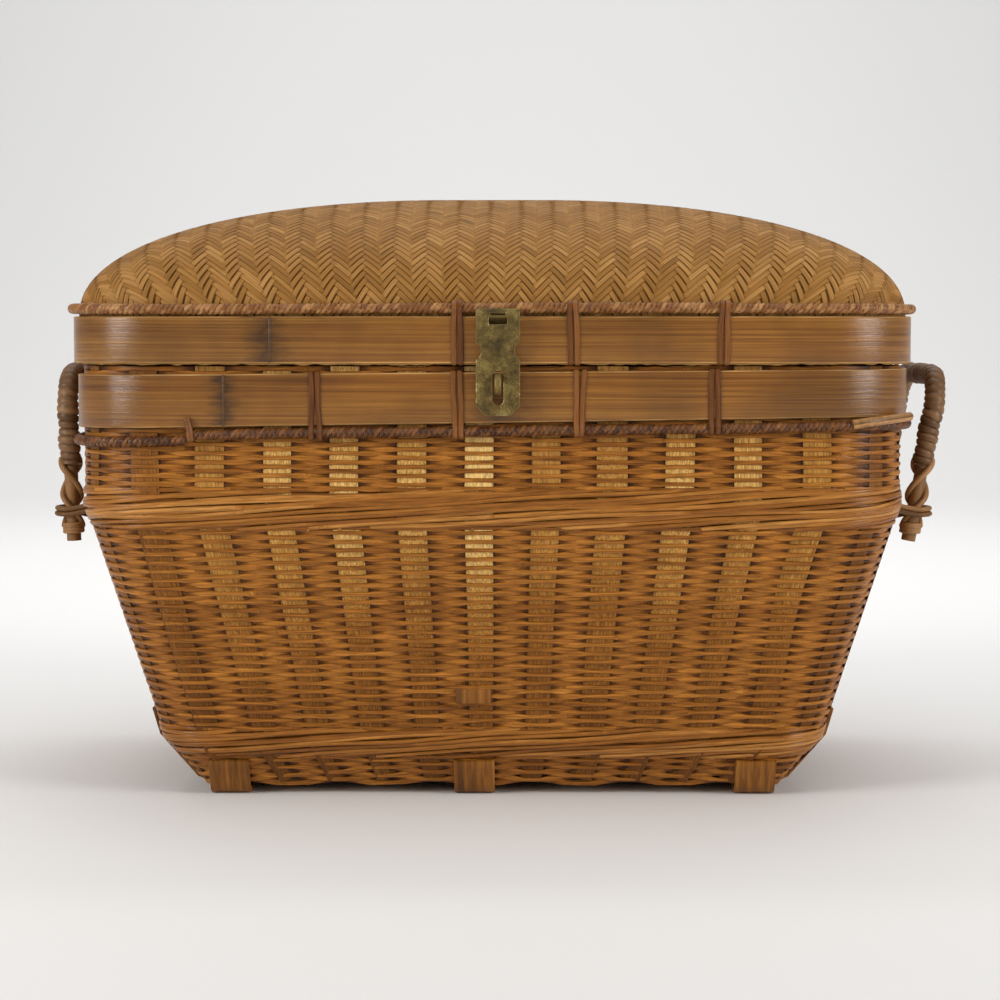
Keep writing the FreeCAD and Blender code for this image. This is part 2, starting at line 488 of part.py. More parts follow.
def all_nodes():
    nodes = {}
    lower, upper = LOWER_BELT_Z, UPPER_BELT_Z
    lower_half, upper_half = LOWER_BELT_HEIGHT / 2, UPPER_BELT_HEIGHT / 2

    nodes["floor_mat"] = lofted([(z, grown(BASE, STAKE_FACE)) for z in (FLOOR_Z, FLOOR_Z + FLOOR_THICK)])
    nodes["lower_weave"] = weave(FLOOR_Z, lower - lower_half)
    nodes["lower_belt"] = belt(lower, LOWER_BELT_HEIGHT)
    nodes["main_weave"] = weave(lower + lower_half, upper - upper_half)
    nodes["upper_belt"] = belt(upper, UPPER_BELT_HEIGHT)
    nodes["wall_stakes"] = stakes()

    depth = BODY_BAND.half_y - BODY_INNER.half_y + BAND_THICK
    loops, windows = lashings(BODY_BAND, depth, BODY_BAND_Z, BODY_BAND_TOP, BODY_LASHINGS)
    nodes["upper_weave"] = weave(upper + upper_half, LIP_TOP + TOUCH / 2).cut(windows)
    nodes["body_outer_band"] = hoop(BODY_BAND, BAND_THICK - TOUCH, BODY_BAND_Z, BODY_BAND_HEIGHT)
    nodes["body_inner_band"] = hoop(BODY_INNER, BAND_THICK, BODY_BAND_Z, BODY_BAND_HEIGHT)
    nodes["body_rim_cord"] = cord(WALL_RIM, BODY_CORD_Z)
    nodes["body_lashings"] = loops

    for name, x in (("left", RUNNER_INSET - BASE.half_x), ("middle", RUNNER_SHIFT), ("right", BASE.half_x - RUNNER_INSET)):
        nodes[name + "_runner"] = moved(runner(RUNNER_WIDTH, RUNNER_THICK, 0, front_half, RUNNER_TOP, TOUCH), x, 0, 0)
    across = runner(RUNNER_WIDTH, CROSS_THICK, RUNNER_THICK + TOUCH, side_half, CROSS_TOP, BELT_BULGE + TOUCH)
    across = turned(across, 90, ORIGIN, Z_AXIS)
    nodes["front_cross_runner"] = moved(across, 0, CROSS_INSET - BASE.half_y, 0)
    nodes["back_cross_runner"] = moved(across, 0, BASE.half_y - CROSS_INSET, 0)

    ties = handle_ties()
    nodes["right_handle_ties"], nodes["left_handle_ties"] = ties, mirrored(ties)
    nodes["upper_belt"] = nodes["upper_belt"].cut(ties).cut(mirrored(ties))
    for side in ("left", "right"):
        rod, grip, collars = handle(side)
        nodes[side + "_handle_rod"] = rod
        nodes[side + "_handle_grip"] = grip
        nodes[side + "_handle_collars"] = collars

    depth = LID_BAND.half_y - LID_INNER.half_y + BAND_THICK
    loops, windows = lashings(LID_BAND, depth, LID_BAND_Z, LID_BAND_TOP, LID_LASHINGS)
    nodes["lid_dome"] = lid_dome().cut(windows)
    nodes["lid_outer_band"] = hoop(LID_BAND, BAND_THICK - TOUCH, LID_BAND_Z, LID_BAND_HEIGHT)
    nodes["lid_inner_band"] = hoop(LID_INNER, BAND_THICK, LID_BAND_Z, LID_BAND_HEIGHT)
    nodes["lid_rim_cord"] = cord(LID_MAT, LID_CORD_Z)
    nodes["lid_lashings"] = loops

    nodes["hasp_plate"] = hasp_plate()
    nodes["hasp_leaf"] = hasp_leaf()
    nodes["hasp_pin"] = rod_x(HASP_X - HASP_WIDTH / 2, HASP_X + HASP_WIDTH / 2, HASP_OUT, HASP_Z, HASP_PIN_RADIUS)
    nodes["hasp_staple"] = hasp_staple()

    body_face, lid_face = BODY_BAND.half_y + TOUCH, LID_BAND.half_y + TOUCH
    pins, body_nails, lid_nails = [], [], []
    for name, x in (("right", -HINGE_X), ("left", HINGE_X)):          # made on the front, then turned to the back
        middle, outer = hinge_spans(x)
        nodes[name + "_hinge_body_leaf"] = hinge_leaf(x, body_face, outer, -1)
        nodes[name + "_hinge_lid_leaf"] = hinge_leaf(x, lid_face, middle, 1)
        pins.append(hinge_pin(x))
        for side in (-1, 1):
            nail_x, rise = x + side * NAIL_SPACING / 2, LEAF_HEIGHT * 0.6
            body_nails.append(nail(nail_x, body_face + LEAF_THICK, HINGE_Z - rise))
            lid_nails.append(nail(nail_x, lid_face + LEAF_THICK, HINGE_Z + rise))
    nodes["hinge_pins"] = Part.makeCompound(pins)
    nodes["body_nails"] = Part.makeCompound(body_nails)
    nodes["lid_nails"] = Part.makeCompound(lid_nails)
    for name in [key for key in nodes if "hinge" in key] + ["body_nails", "lid_nails"]:
        nodes[name] = turned(nodes[name], 180, ORIGIN, Z_AXIS)
    hasp_nails = [nail(HASP_X + side * NAIL_SPACING / 2, lid_face + HASP_THICK, HASP_Z - HASP_LEAF_DROP + 5)
                  for side in (-1, 1)]
    nodes["lid_nails"] = Part.makeCompound([nodes["lid_nails"]] + hasp_nails)

    nailed = {"body_nails": ["body_outer_band"] + [s + "_hinge_body_leaf" for s in ("left", "right")],
              "lid_nails": ["lid_outer_band", "hasp_leaf"] + [s + "_hinge_lid_leaf" for s in ("left", "right")],
              "hasp_staple": ["body_outer_band"]}
    for driven, holders in nailed.items():
        for holder in holders:
            nodes[holder] = nodes[holder].cut(nodes[driven])
    return nodes


os.makedirs("parts", exist_ok=True)
for node, shape in all_nodes().items():
    shape.exportStep("parts/" + node + ".step")
    print(node, len(shape.Solids), round(shape.Volume / 1000, 2), shape.isValid())
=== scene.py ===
"""Looks of the woven bamboo hamper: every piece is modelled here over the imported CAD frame, in metres."""

import json
import math

import bpy
import numpy as np
from mathutils import Matrix, Vector


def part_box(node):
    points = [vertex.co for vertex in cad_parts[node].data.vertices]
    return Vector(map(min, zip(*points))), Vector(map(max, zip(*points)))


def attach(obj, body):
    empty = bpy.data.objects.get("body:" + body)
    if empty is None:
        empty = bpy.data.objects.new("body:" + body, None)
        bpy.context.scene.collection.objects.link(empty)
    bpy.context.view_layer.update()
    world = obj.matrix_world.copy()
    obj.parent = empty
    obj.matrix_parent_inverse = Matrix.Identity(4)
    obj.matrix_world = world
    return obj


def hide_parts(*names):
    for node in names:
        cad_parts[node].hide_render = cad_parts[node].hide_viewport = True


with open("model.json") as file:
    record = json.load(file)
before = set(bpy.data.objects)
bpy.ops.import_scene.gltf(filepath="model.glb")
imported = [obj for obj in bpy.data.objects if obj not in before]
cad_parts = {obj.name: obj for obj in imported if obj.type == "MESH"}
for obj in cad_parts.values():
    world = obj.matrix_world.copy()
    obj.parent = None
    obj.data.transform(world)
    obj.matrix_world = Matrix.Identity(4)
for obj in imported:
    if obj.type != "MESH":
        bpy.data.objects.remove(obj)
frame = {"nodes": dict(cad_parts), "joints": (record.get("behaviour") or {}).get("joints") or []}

bl_info = {
    "name": "Woven Hamper",
    "version": (1, 0, 0),
    "blender": (4, 5, 0),
    "location": "View3D > Sidebar > Hamper",
    "description": "Builds a woven bamboo hamper with a twilled, domed lid over its CAD frame",
    "category": "Add Mesh",
}

MM = 0.001

# --- heights and sections, in millimetres, read from the frame where a node gives them --------------------


def low_high(node):
    low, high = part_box(node)
    return low / MM, high / MM


LID_LOW, LID_HIGH = (corner.z for corner in low_high("lid_outer_band"))
BODY_LOW, BODY_HIGH = (corner.z for corner in low_high("body_outer_band"))
LOW_BELT = tuple(corner.z for corner in low_high("lower_belt"))
HIGH_BELT = tuple(corner.z for corner in low_high("upper_belt"))
FLOOR_LOW, FLOOR_HIGH = (corner.z for corner in low_high("floor_mat"))
LIP = low_high("upper_weave")[1].z
DOME_TOP = low_high("lid_dome")[1].z + 0.45

LID_HALF = low_high("lid_outer_band")[1]
BODY_HALF = low_high("body_outer_band")[1]
WALL_HALF = low_high("upper_weave")[1]
FLOOR_HALF = low_high("floor_mat")[1]

LID_CORNER = 58.0          # corner radius of the lid's band
MAT_IN = 3.5               # the lid's mat lies this far inside its band's face


class Section:
    """A rounded rectangle in plan, all of whose values may be arrays."""

    def __init__(self, half_x, half_y, radius):
        self.half_x, self.half_y, self.radius = (np.asarray(v, float) for v in (half_x, half_y, radius))

    def grown(self, by):
        return Section(self.half_x + by, self.half_y + by, self.radius + by)

    def run(self, odd):
        """Half the distance round one face, to the middle of its corners."""
        reach = np.where(odd, self.half_y, self.half_x)
        return reach - self.radius + math.pi / 4 * self.radius


LID = Section(LID_HALF.x, LID_HALF.y, LID_CORNER)
BODY = Section(BODY_HALF.x, BODY_HALF.y, LID_CORNER - (LID_HALF.x - BODY_HALF.x))
RIM = Section(WALL_HALF.x, WALL_HALF.y, LID_CORNER - (LID_HALF.x - WALL_HALF.x))
FOOT_Z, FOOT_X, FOOT_Y = 38.0, 222.0, 139.0      # where the curve of the wall's foot ends: height, half sizes
UPRIGHT_Z = 197.0                                # the wall stands upright above this height
LEVELS = np.array([FLOOR_LOW, FOOT_Z, UPRIGHT_Z, LIP + 1])
LEVEL_X = np.array([FLOOR_HALF.x + 2.6, FOOT_X, WALL_HALF.x, WALL_HALF.x])
LEVEL_Y = np.array([FLOOR_HALF.y + 2.6, FOOT_Y, WALL_HALF.y, WALL_HALF.y])
LEVEL_R = np.array([14.0, 36.0, float(RIM.radius), float(RIM.radius)])      # corner radii, tight at the floor
STAKES = 40
STAKE_SHIFT = -8.0                               # the stake nearest the front's middle stands this far left
ROUND = float(4 * (RIM.run(False) + RIM.run(True)))
PITCH = ROUND / STAKES


def wall_section(z):
    """The wall's section at a height."""
    return Section(*(np.interp(z, LEVELS, level) for level in (LEVEL_X, LEVEL_Y, LEVEL_R)))


def round_point(section, place):
    """Points and outward normals at places round a section. A place counts stakes from the front's middle
    towards +X, and the same place lies on the same stake at every height."""
    place = np.asarray(place, float)
    front, side = float(RIM.run(False)), float(RIM.run(True))
    rest = (place * PITCH + STAKE_SHIFT + front) % ROUND
    starts = np.array([0, 2 * front, 2 * front + 2 * side, 4 * front + 2 * side])
    face = np.searchsorted(starts, rest, side="right") - 1
    odd = face % 2 == 1
    share = (rest - starts[face]) / np.where(odd, side, front) - 1
    along = share * section.run(odd)
    straight = np.where(odd, section.half_y, section.half_x) - section.radius
    reach = np.where(odd, section.half_x, section.half_y)
    swing = np.clip(np.abs(along) - straight, 0, None) / section.radius * np.sign(along)
    nx, ny = np.sin(swing), -np.cos(swing)
    x = np.clip(along, -straight, straight) + section.radius * nx
    y = section.radius - reach + section.radius * ny
    turn = np.radians(90 * face)
    c, s = np.cos(turn), np.sin(turn)
    return np.stack([x * c - y * s, x * s + y * c], -1), np.stack([nx * c - ny * s, nx * s + ny * c], -1)


def on_section(section, place, z, out):
    """3-D points at places round a section, at heights, standing out from it; and the outward directions."""
    point, normal = round_point(section, place)
    z = np.broadcast_to(z, np.shape(place))
    out = np.broadcast_to(out, np.shape(place))[..., None]
    points = np.concatenate([point + normal * out, z[..., None]], -1)
    return points, np.concatenate([normal, np.zeros_like(z)[..., None]], -1)


def on_wall(place, z, out):
    """As on_section, on the wall, with directions square to its slope."""
    points, outs = on_section(wall_section(z), place, z, out)
    above, below = (on_section(wall_section(level), place, level, out)[0] for level in (z + 1, z - 1))
    rise = above - below
    rise /= np.linalg.norm(rise, axis=1, keepdims=True)
    outs = outs - rise * (outs * rise).sum(1)[:, None]
    return points, outs / np.linalg.norm(outs, axis=1, keepdims=True)


def place_of(x):
    """The place on the front that lies at a distance right of its middle, at the rim."""
    return (x - STAKE_SHIFT) / PITCH


# --- strips and rods as meshes ------------------------------------------------------------------------------
# Cross-sections as (across, outwards) in half widths and thicknesses.
SPLINT = [(-1, -0.5), (-0.85, 0.5), (0.85, 0.5), (1, -0.5)]
CANE = [(-1, -0.35), (-0.8, 0.35), (0, 0.55), (0.8, 0.35), (1, -0.35), (0, -0.55)]
SLAT = [(-1, -0.5), (-1, 0.28), (-0.9, 0.5), (0.9, 0.5), (1, 0.28), (1, -0.5)]


class Strands:
    """Collects strips into one mesh, with a vertex attribute (random number, mm along, share across)."""

    def __init__(self):
        self.points, self.faces, self.notes, self.count = [], [], [], 0

    def add(self, centres, outs, widths, thicks, note, closed=False, shape=CANE):
        """A strip along centres with its face towards outs. Widths and thicknesses are full ones."""
        centres, outs = np.asarray(centres, float), np.asarray(outs, float)
        n, m = len(centres), len(shape)
        if closed:
            ahead = np.roll(centres, -1, 0) - np.roll(centres, 1, 0)
        else:
            ahead = np.gradient(centres, axis=0)
        ahead /= np.linalg.norm(ahead, axis=1, keepdims=True) + 1e-12
        across = np.cross(outs, ahead)
        across /= np.linalg.norm(across, axis=1, keepdims=True) + 1e-12
        outs = np.cross(ahead, across)
        profile = np.array(shape, float)
        widths = np.broadcast_to(widths, n)[:, None, None] / 2
        thicks = np.broadcast_to(thicks, n)[:, None, None]
        body = (centres[:, None] + across[:, None] * (profile[None, :, :1] * widths)
                + outs[:, None] * (profile[None, :, 1:] * thicks))
        steps = np.linalg.norm(np.diff(centres, axis=0), axis=1)
        along = np.concatenate([[0], np.cumsum(steps)])
        notes = np.zeros((n, m, 3))
        notes[..., 0] = np.broadcast_to(note, n)[:, None]
        notes[..., 1] = along[:, None]
        notes[..., 2] = profile[None, :, 0]
        self._take(body, notes, n, m, closed)

    def _take(self, body, notes, n, m, closed):
        rows = np.arange(n if closed else n - 1)
        a = self.count + (rows[:, None] * m + np.arange(m)[None])
        b = self.count + (rows[:, None] * m + (np.arange(m)[None] + 1) % m)
        c = self.count + (((rows[:, None] + 1) % n) * m + (np.arange(m)[None] + 1) % m)
        d = self.count + (((rows[:, None] + 1) % n) * m + np.arange(m)[None])
        self.faces.append(np.stack([a, d, c, b], -1).reshape(-1, 4))
        self.points.append(body.reshape(-1, 3))
        self.notes.append(notes.reshape(-1, 3))
        if not closed:
            self.points.append(np.stack([body[0].mean(0), body[-1].mean(0)]))
            self.notes.append(np.stack([notes[0].mean(0), notes[-1].mean(0)]))
            first, last = self.count + n * m, self.count + n * m + 1
            k = np.arange(m)
            start, end = self.count + k, self.count + (n - 1) * m + k
            after = (k + 1) % m
            self.faces.append(np.stack([np.full(m, first), start, self.count + after, np.full(m, first)], -1))
            after_end = self.count + (n - 1) * m + after
            self.faces.append(np.stack([np.full(m, last), after_end, end, np.full(m, last)], -1))
            self.count += 2
        self.count += n * m

    def rod(self, centres, radii, note, closed=False, sides=10, wrap=None):
        """A round rod. wrap = (pitch, depth, starts) cuts the grooves of a helical winding into it."""
        centres = np.asarray(centres, float)
        n = len(centres)
        ahead = np.roll(centres, -1, 0) - np.roll(centres, 1, 0) if closed else np.gradient(centres, axis=0)
        ahead /= np.linalg.norm(ahead, axis=1, keepdims=True) + 1e-12
        side = carried(ahead)
        other = np.cross(side, ahead)
        steps = np.linalg.norm(np.roll(centres, -1, 0) - centres, axis=1)
        along = np.concatenate([[0], np.cumsum(steps[:-1])])
        whole = along[-1] + (steps[-1] if closed else 0)
        angle = np.arange(sides) / sides * 2 * math.pi
        radii = np.broadcast_to(radii, n)[:, None] * np.ones((n, sides))
        notes = np.zeros((n, sides, 3))
        notes[..., 0] = np.broadcast_to(note, n)[:, None]
        notes[..., 1] = along[:, None]
        notes[..., 2] = angle[None] / math.pi - 1
        if wrap:
            pitch, depth, starts = wrap
            turns = max(1, round(whole / pitch))
            turn = along[:, None] / whole * turns - starts * angle[None] / (2 * math.pi)
            phase = turn % 1
            radii = radii - depth * (1 - np.sqrt(np.clip(1 - (2 * phase - 1) ** 2, 0, 1))) ** 1.5
            fleck = (np.sin(np.floor(turn) * 12.9898 + 4.1) * 43758.5453) % 1
            notes[..., 0] = np.clip(notes[..., 0] - 0.25 + 0.5 * fleck, 0, 1)
            # across runs over each turn, so the material's edge darkening paints shade into the grooves
            notes[..., 2] = 2 * phase - 1
        body = centres[:, None] + radii[..., None] * (side[:, None] * np.cos(angle)[None, :, None]
                                                      + other[:, None] * np.sin(angle)[None, :, None])
        self._take(body, notes, n, sides, closed)

    def object(self, name, material, angle=40):
        points = np.concatenate(self.points) * MM
        faces = np.concatenate(self.faces)
        mesh = bpy.data.meshes.new(name)
        rows = [tuple(dict.fromkeys(face)) for face in faces.tolist()]
        mesh.from_pydata(points.tolist(), [], rows)
        notes = mesh.attributes.new("strand", "FLOAT_VECTOR", "POINT")
        notes.data.foreach_set("vector", np.concatenate(self.notes).astype(np.float32).ravel())
        mesh.materials.append(material)
        piece = bpy.data.objects.new(name, mesh)
        bpy.context.scene.collection.objects.link(piece)
        only(piece)
        bpy.ops.object.shade_smooth_by_angle(angle=math.radians(angle))
        return piece


def carried(ahead):
    """A side direction carried along a path without twisting."""
    n = len(ahead)
    side = np.zeros_like(ahead)
    first = np.cross(ahead[0], [0, 0, 1])
    if np.linalg.norm(first) < 0.1:
        first = np.cross(ahead[0], [1, 0, 0])
    side[0] = first / np.linalg.norm(first)
    for k in range(1, n):
        v = side[k - 1] - ahead[k] * np.dot(side[k - 1], ahead[k])
        side[k] = v / np.linalg.norm(v)
    return side


def smooth_noise(count, scale, seed):
    """A smooth random wave of the given number of samples, about zero, that closes on itself."""
    rng = np.random.default_rng(seed)
    k = np.arange(1, max(2, int(scale)) + 1)
    size, phase = rng.normal(size=len(k)) / np.sqrt(len(k)), rng.uniform(0, 2 * math.pi, len(k))
    t = np.arange(count)[:, None] / count * 2 * math.pi
    return (size * np.sin(k * t + phase)).sum(1)


def patches(count, pieces, rng):
    """A random number that stays the same over each of a few lengths of a strand."""
    cuts = np.sort(rng.integers(0, count, pieces))
    return rng.random(pieces + 1)[np.searchsorted(cuts, np.arange(count), side="right")]


def bend(points, steps=6):
    """A smooth path through points."""
    points = [Vector(p) for p in points]
    path = []
    for k in range(len(points) - 1):
        p0, p1, p2, p3 = (points[min(max(k + d, 0), len(points) - 1)] for d in (-1, 0, 1, 2))
        for step in range(steps):
            t = step / steps
            path.append(0.5 * ((2 * p1) + (p2 - p0) * t + (2 * p0 - 5 * p1 + 4 * p2 - p3) * t * t
                               + (3 * p1 - p0 - 3 * p2 + p3) * t ** 3))
    path.append(points[-1])
    return np.array([tuple(p) for p in path])


# --- modelling by operator ----------------------------------------------------------------------------------
def only(*pieces):
    bpy.ops.object.select_all(action="DESELECT")
    for piece in pieces:
        piece.select_set(True)
    bpy.context.view_layer.objects.active = pieces[-1]


def named(name):
    piece = bpy.context.active_object
    piece.name = name
    piece.data.name = name
    return piece


def settle(piece):
    only(piece)
    bpy.ops.object.transform_apply(location=True, rotation=True, scale=True)
    return piece


def with_modifier(piece, kind, **settings):
    only(piece)
    bpy.ops.object.modifier_add(type=kind)
    modifier = piece.modifiers[-1]
    for key, value in settings.items():
        setattr(modifier, key, value)
    bpy.ops.object.modifier_apply(modifier=modifier.name)
    return piece


def bevelled(piece, width, segments=2, angle=30, material=-1):
    with_modifier(piece, "BEVEL", width=width * MM, segments=segments, limit_method="ANGLE",
                  angle_limit=math.radians(angle), material=material)
    bpy.ops.object.shade_smooth_by_angle(angle=math.radians(35))
    return piece


def block(name, x0, x1, y0, y1, z0, z1):
    """A box between two corners, in millimetres."""
    bpy.ops.object.select_all(action="DESELECT")
    middle = Vector(((x0 + x1) / 2, (y0 + y1) / 2, (z0 + z1) / 2)) * MM
    bpy.ops.mesh.primitive_cube_add(size=1, location=middle)
    piece = named(name)
    piece.scale = Vector((x1 - x0, y1 - y0, z1 - z0)) * MM
    return settle(piece)


def cylinder(name, centre, radius, length, axis):
    bpy.ops.object.select_all(action="DESELECT")
    turn = Vector((0, 0, 1)).rotation_difference(Vector(axis)).to_euler()
    bpy.ops.mesh.primitive_cylinder_add(vertices=24, radius=radius * MM, depth=length * MM,
                                        location=Vector(centre) * MM, rotation=turn)
    return settle(named(name))


def thickened(step):
    """Extrudes all of the mesh in edit mode by a step in millimetres, and ends edit mode."""
    bpy.ops.mesh.select_all(action="SELECT")
    bpy.ops.mesh.extrude_region_move(TRANSFORM_OT_translate={"value": tuple(v * MM for v in step)})
    bpy.ops.mesh.select_all(action="SELECT")
    bpy.ops.mesh.normals_make_consistent(inside=False)
    bpy.ops.object.mode_set(mode="OBJECT")


def extruded(name, corners, step):
    """A flat outline extruded by a step, in millimetres."""
    mesh = bpy.data.meshes.new(name)
    mesh.from_pydata([tuple(v * MM for v in corner) for corner in corners], [], [tuple(range(len(corners)))])
    piece = bpy.data.objects.new(name, mesh)
    bpy.context.scene.collection.objects.link(piece)
    only(piece)
    bpy.ops.object.mode_set(mode="EDIT")
    thickened(step)
    return piece


def joined(name, pieces):
    only(*pieces)
    if len(pieces) > 1:
        bpy.ops.object.join()
    return named(name)


def cut_away(piece, cutter):
    with_modifier(piece, "BOOLEAN", operation="DIFFERENCE", solver="EXACT", object=cutter)
    bpy.data.objects.remove(cutter)
    return piece


def dressed(piece, body, slot, material=None, *nodes):
    """Gives a finished piece its material, the body it moves with and the CAD nodes that it stands for."""
    if material:
        piece.data.materials.clear()
        piece.data.materials.append(material)
    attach(piece, body)
    if nodes:
        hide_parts(*nodes)
    return piece


# --- materials -------------------------------------------------------------------------------------------
SEED_STEP = 61.0           # noise space between one strand and the next, so that no two share a grain
STAIN_AND_SHADE_REACH = 18.5 * MM     # stains and painted shade end this far above, below and behind their middles


def linear(code):
    """An sRGB hex colour as linear RGBA."""
    parts = [int(code[k:k + 2], 16) / 255 for k in (1, 3, 5)]
    return tuple(p / 12.92 if p <= 0.04045 else ((p + 0.055) / 1.055) ** 2.4 for p in parts) + (1.0,)


def fresh(name):
    """An empty material and its node tree."""
    material = bpy.data.materials.new(name)
    material.use_nodes = True
    material.node_tree.nodes.clear()
    return material, material.node_tree


def add(tree, kind, inputs=(), stops=(), **settings):
    """Adds a node. inputs are (socket, what goes in) pairs, where a node stands for its first output; stops
    are the (position, hex colour) pairs of a ramp."""
    made = tree.nodes.new("ShaderNode" + kind)
    for key, value in settings.items():
        setattr(made, key, value)
    for socket, value in inputs:
        if isinstance(value, bpy.types.Node):
            value = value.outputs[0]
        if isinstance(value, bpy.types.NodeSocket):
            tree.links.new(value, made.inputs[socket])
        else:
            made.inputs[socket].default_value = value
    if stops:
        elements = made.color_ramp.elements
        while len(elements) < len(stops):
            elements.new(0.5)
        for element, (position, code) in zip(elements, stops):
            element.position, element.color = position, linear(code)
    return made


def strand_material(name, stops, grain=(0.05, 1.4), streak=0.35, rough=0.5, edge=0.35, patch=0.25, coat=0.0):
    """Split cane or bamboo. stops run by each strand's random number; grain is noise per mm, along and
    across; edge darkens a strand's sides, as dirt and painted shade, and patch varies its shade over
    the hamper."""
    material, tree = fresh(name)
    where = add(tree, "TexCoord").outputs["Object"]
    strand = add(tree, "Attribute", attribute_name="strand").outputs["Vector"]
    seed, along, across = add(tree, "SeparateXYZ", ((0, strand),)).outputs
    turned = add(tree, "CombineXYZ", ((0, along), (1, across), (2, seed)))
    place = add(tree, "VectorMath", ((0, turned), (1, (*grain, SEED_STEP))), operation="MULTIPLY")
    fibre = add(tree, "TexNoise", (("Vector", place), ("Scale", 1.0), ("Detail", 4.0), ("Roughness", 0.6)))
    broad = add(tree, "TexNoise", (("Vector", where), ("Scale", 9.0), ("Detail", 2.0), ("Roughness", 0.55)))
    pick = add(tree, "Math", ((0, fibre), (1, 0.5), (2, seed)), operation="MULTIPLY_ADD")
    pick = add(tree, "Math", ((0, broad), (1, patch), (2, pick)), operation="MULTIPLY_ADD")
    pick = add(tree, "Math", ((0, pick), (1, 0.25 + patch / 2)), operation="SUBTRACT", use_clamp=True)
    colour = add(tree, "ValToRGB", (("Fac", pick),), stops)
    rim = add(tree, "Math", ((0, across),), operation="ABSOLUTE")
    rim = add(tree, "Math", ((0, rim), (1, 5.0)), operation="POWER")
    # dirt and painted shade: a strand darkens towards its sides, and a wound rod in its grooves
    worn = add(tree, "Math", ((0, rim), (1, -edge), (2, 1.0)), operation="MULTIPLY_ADD")
    streaks = add(tree, "MapRange", ((0, fibre), (1, 0.3), (2, 0.7), (3, 1.0 - streak),
                                     (4, 1.0 + streak * 0.4)))
    shade = add(tree, "Math", ((0, worn), (1, streaks)), operation="MULTIPLY")
    shaded = add(tree, "VectorMath", ((0, colour), ("Scale", shade)), operation="SCALE")
    gloss = add(tree, "MapRange", ((0, fibre), (1, 0.3), (2, 0.7), (3, rough - 0.07), (4, rough + 0.1)))
    relief = add(tree, "Bump", (("Strength", 0.12), ("Distance", 0.0006), ("Height", fibre)))
    shader = add(tree, "BsdfPrincipled", (("Base Color", shaded), ("Roughness", gloss), ("Normal", relief),
                                          ("Specular IOR Level", 0.2), ("Coat Weight", coat),
                                          ("Coat Roughness", 0.3)))
    add(tree, "OutputMaterial", ((0, shader),))
    return material


def plank_material(name, stops, stretch, rough=0.38, coat=0.25, streak=0.4, bump=0.15, stains_and_shade=()):
    """Varnished split bamboo. stretch is the fibre noise per metre along X, Y and Z of the object; the last
    argument lists (x, y, z, radius) in millimetres of dark patches: stains at the culm's nodes, and painted
    shade behind the hasp's slot."""
    material, tree = fresh(name)
    where = add(tree, "TexCoord").outputs["Object"]
    clouds = []
    for scale, detail, roughness in ((stretch, 5.0, 0.65), ([v * 0.12 for v in stretch], 3.0, 0.55),
                                     ((14.0, 14.0, 14.0), 3.0, 0.55), ((60, 60, 260), 3.0, 0.55)):
        place = add(tree, "Mapping", (("Vector", where), ("Scale", scale)))
        clouds.append(add(tree, "TexNoise", (("Vector", place), ("Scale", 1.0), ("Detail", detail),
                                             ("Roughness", roughness))))
    fibre, broad, blotch, ragged = clouds
    pick = add(tree, "Math", ((0, broad), (1, 0.45)), operation="MULTIPLY")
    pick = add(tree, "Math", ((0, fibre), (1, 0.55), (2, pick)), operation="MULTIPLY_ADD")
    pick = add(tree, "MapRange", ((0, pick), (1, 0.3), (2, 0.7), (3, 0.0), (4, 1.0)))
    colour = add(tree, "ValToRGB", (("Fac", pick),), stops)
    lines = add(tree, "MapRange", ((0, fibre), (1, 0.35), (2, 0.65), (3, 1.0 - streak * 0.5),
                                   (4, 1.0 + streak * 0.2)))
    stains = add(tree, "MapRange", ((0, blotch), (1, 0.35), (2, 0.65), (3, 0.65), (4, 1.08)))
    shade = add(tree, "Math", ((0, lines), (1, stains)), operation="MULTIPLY")
    rag = add(tree, "Math", ((0, ragged), (1, 0.02), (2, -0.01)), operation="MULTIPLY_ADD")
    for x, y, z, radius in stains_and_shade:
        along = 0 if abs(y) > 100 else 1               # the front and back run along X, the sides along Y
        offset = add(tree, "VectorMath", ((0, where), (1, (x * MM, y * MM, z * MM))), operation="SUBTRACT")
        parts = add(tree, "SeparateXYZ", ((0, offset),)).outputs
        uneven = add(tree, "Math", ((0, parts[along]), (1, rag)), operation="ADD")
        near, off, rise = (add(tree, "Math", ((0, value),), operation="ABSOLUTE")
                           for value in (uneven, parts[1 - along], parts[2]))
        away = add(tree, "Math", ((0, off), (1, rise)), operation="MAXIMUM")
        away = add(tree, "Math", ((0, away), (1, STAIN_AND_SHADE_REACH)), operation="GREATER_THAN")
        dark = add(tree, "MapRange", ((0, near), (1, 0.0), (2, radius * MM), (3, 0.34), (4, 1.0)))
        kept = add(tree, "Math", ((0, dark), (1, away)), operation="MAXIMUM")
        shade = add(tree, "Math", ((0, shade), (1, kept)), operation="MULTIPLY")
    shaded = add(tree, "VectorMath", ((0, colour), ("Scale", shade)), operation="SCALE")
    gloss = add(tree, "MapRange", ((0, fibre), (1, 0.3), (2, 0.7), (3, rough - 0.06), (4, rough + 0.12)))
    relief = add(tree, "Bump", (("Strength", bump), ("Distance", 0.0008), ("Height", fibre)))
    shader = add(tree, "BsdfPrincipled", (("Base Color", shaded), ("Roughness", gloss), ("Normal", relief),
                                          ("Coat Normal", relief), ("Specular IOR Level", 0.3),
                                          ("Coat Weight", coat), ("Coat Roughness", 0.1)))
    add(tree, "OutputMaterial", ((0, shader),))
    return material


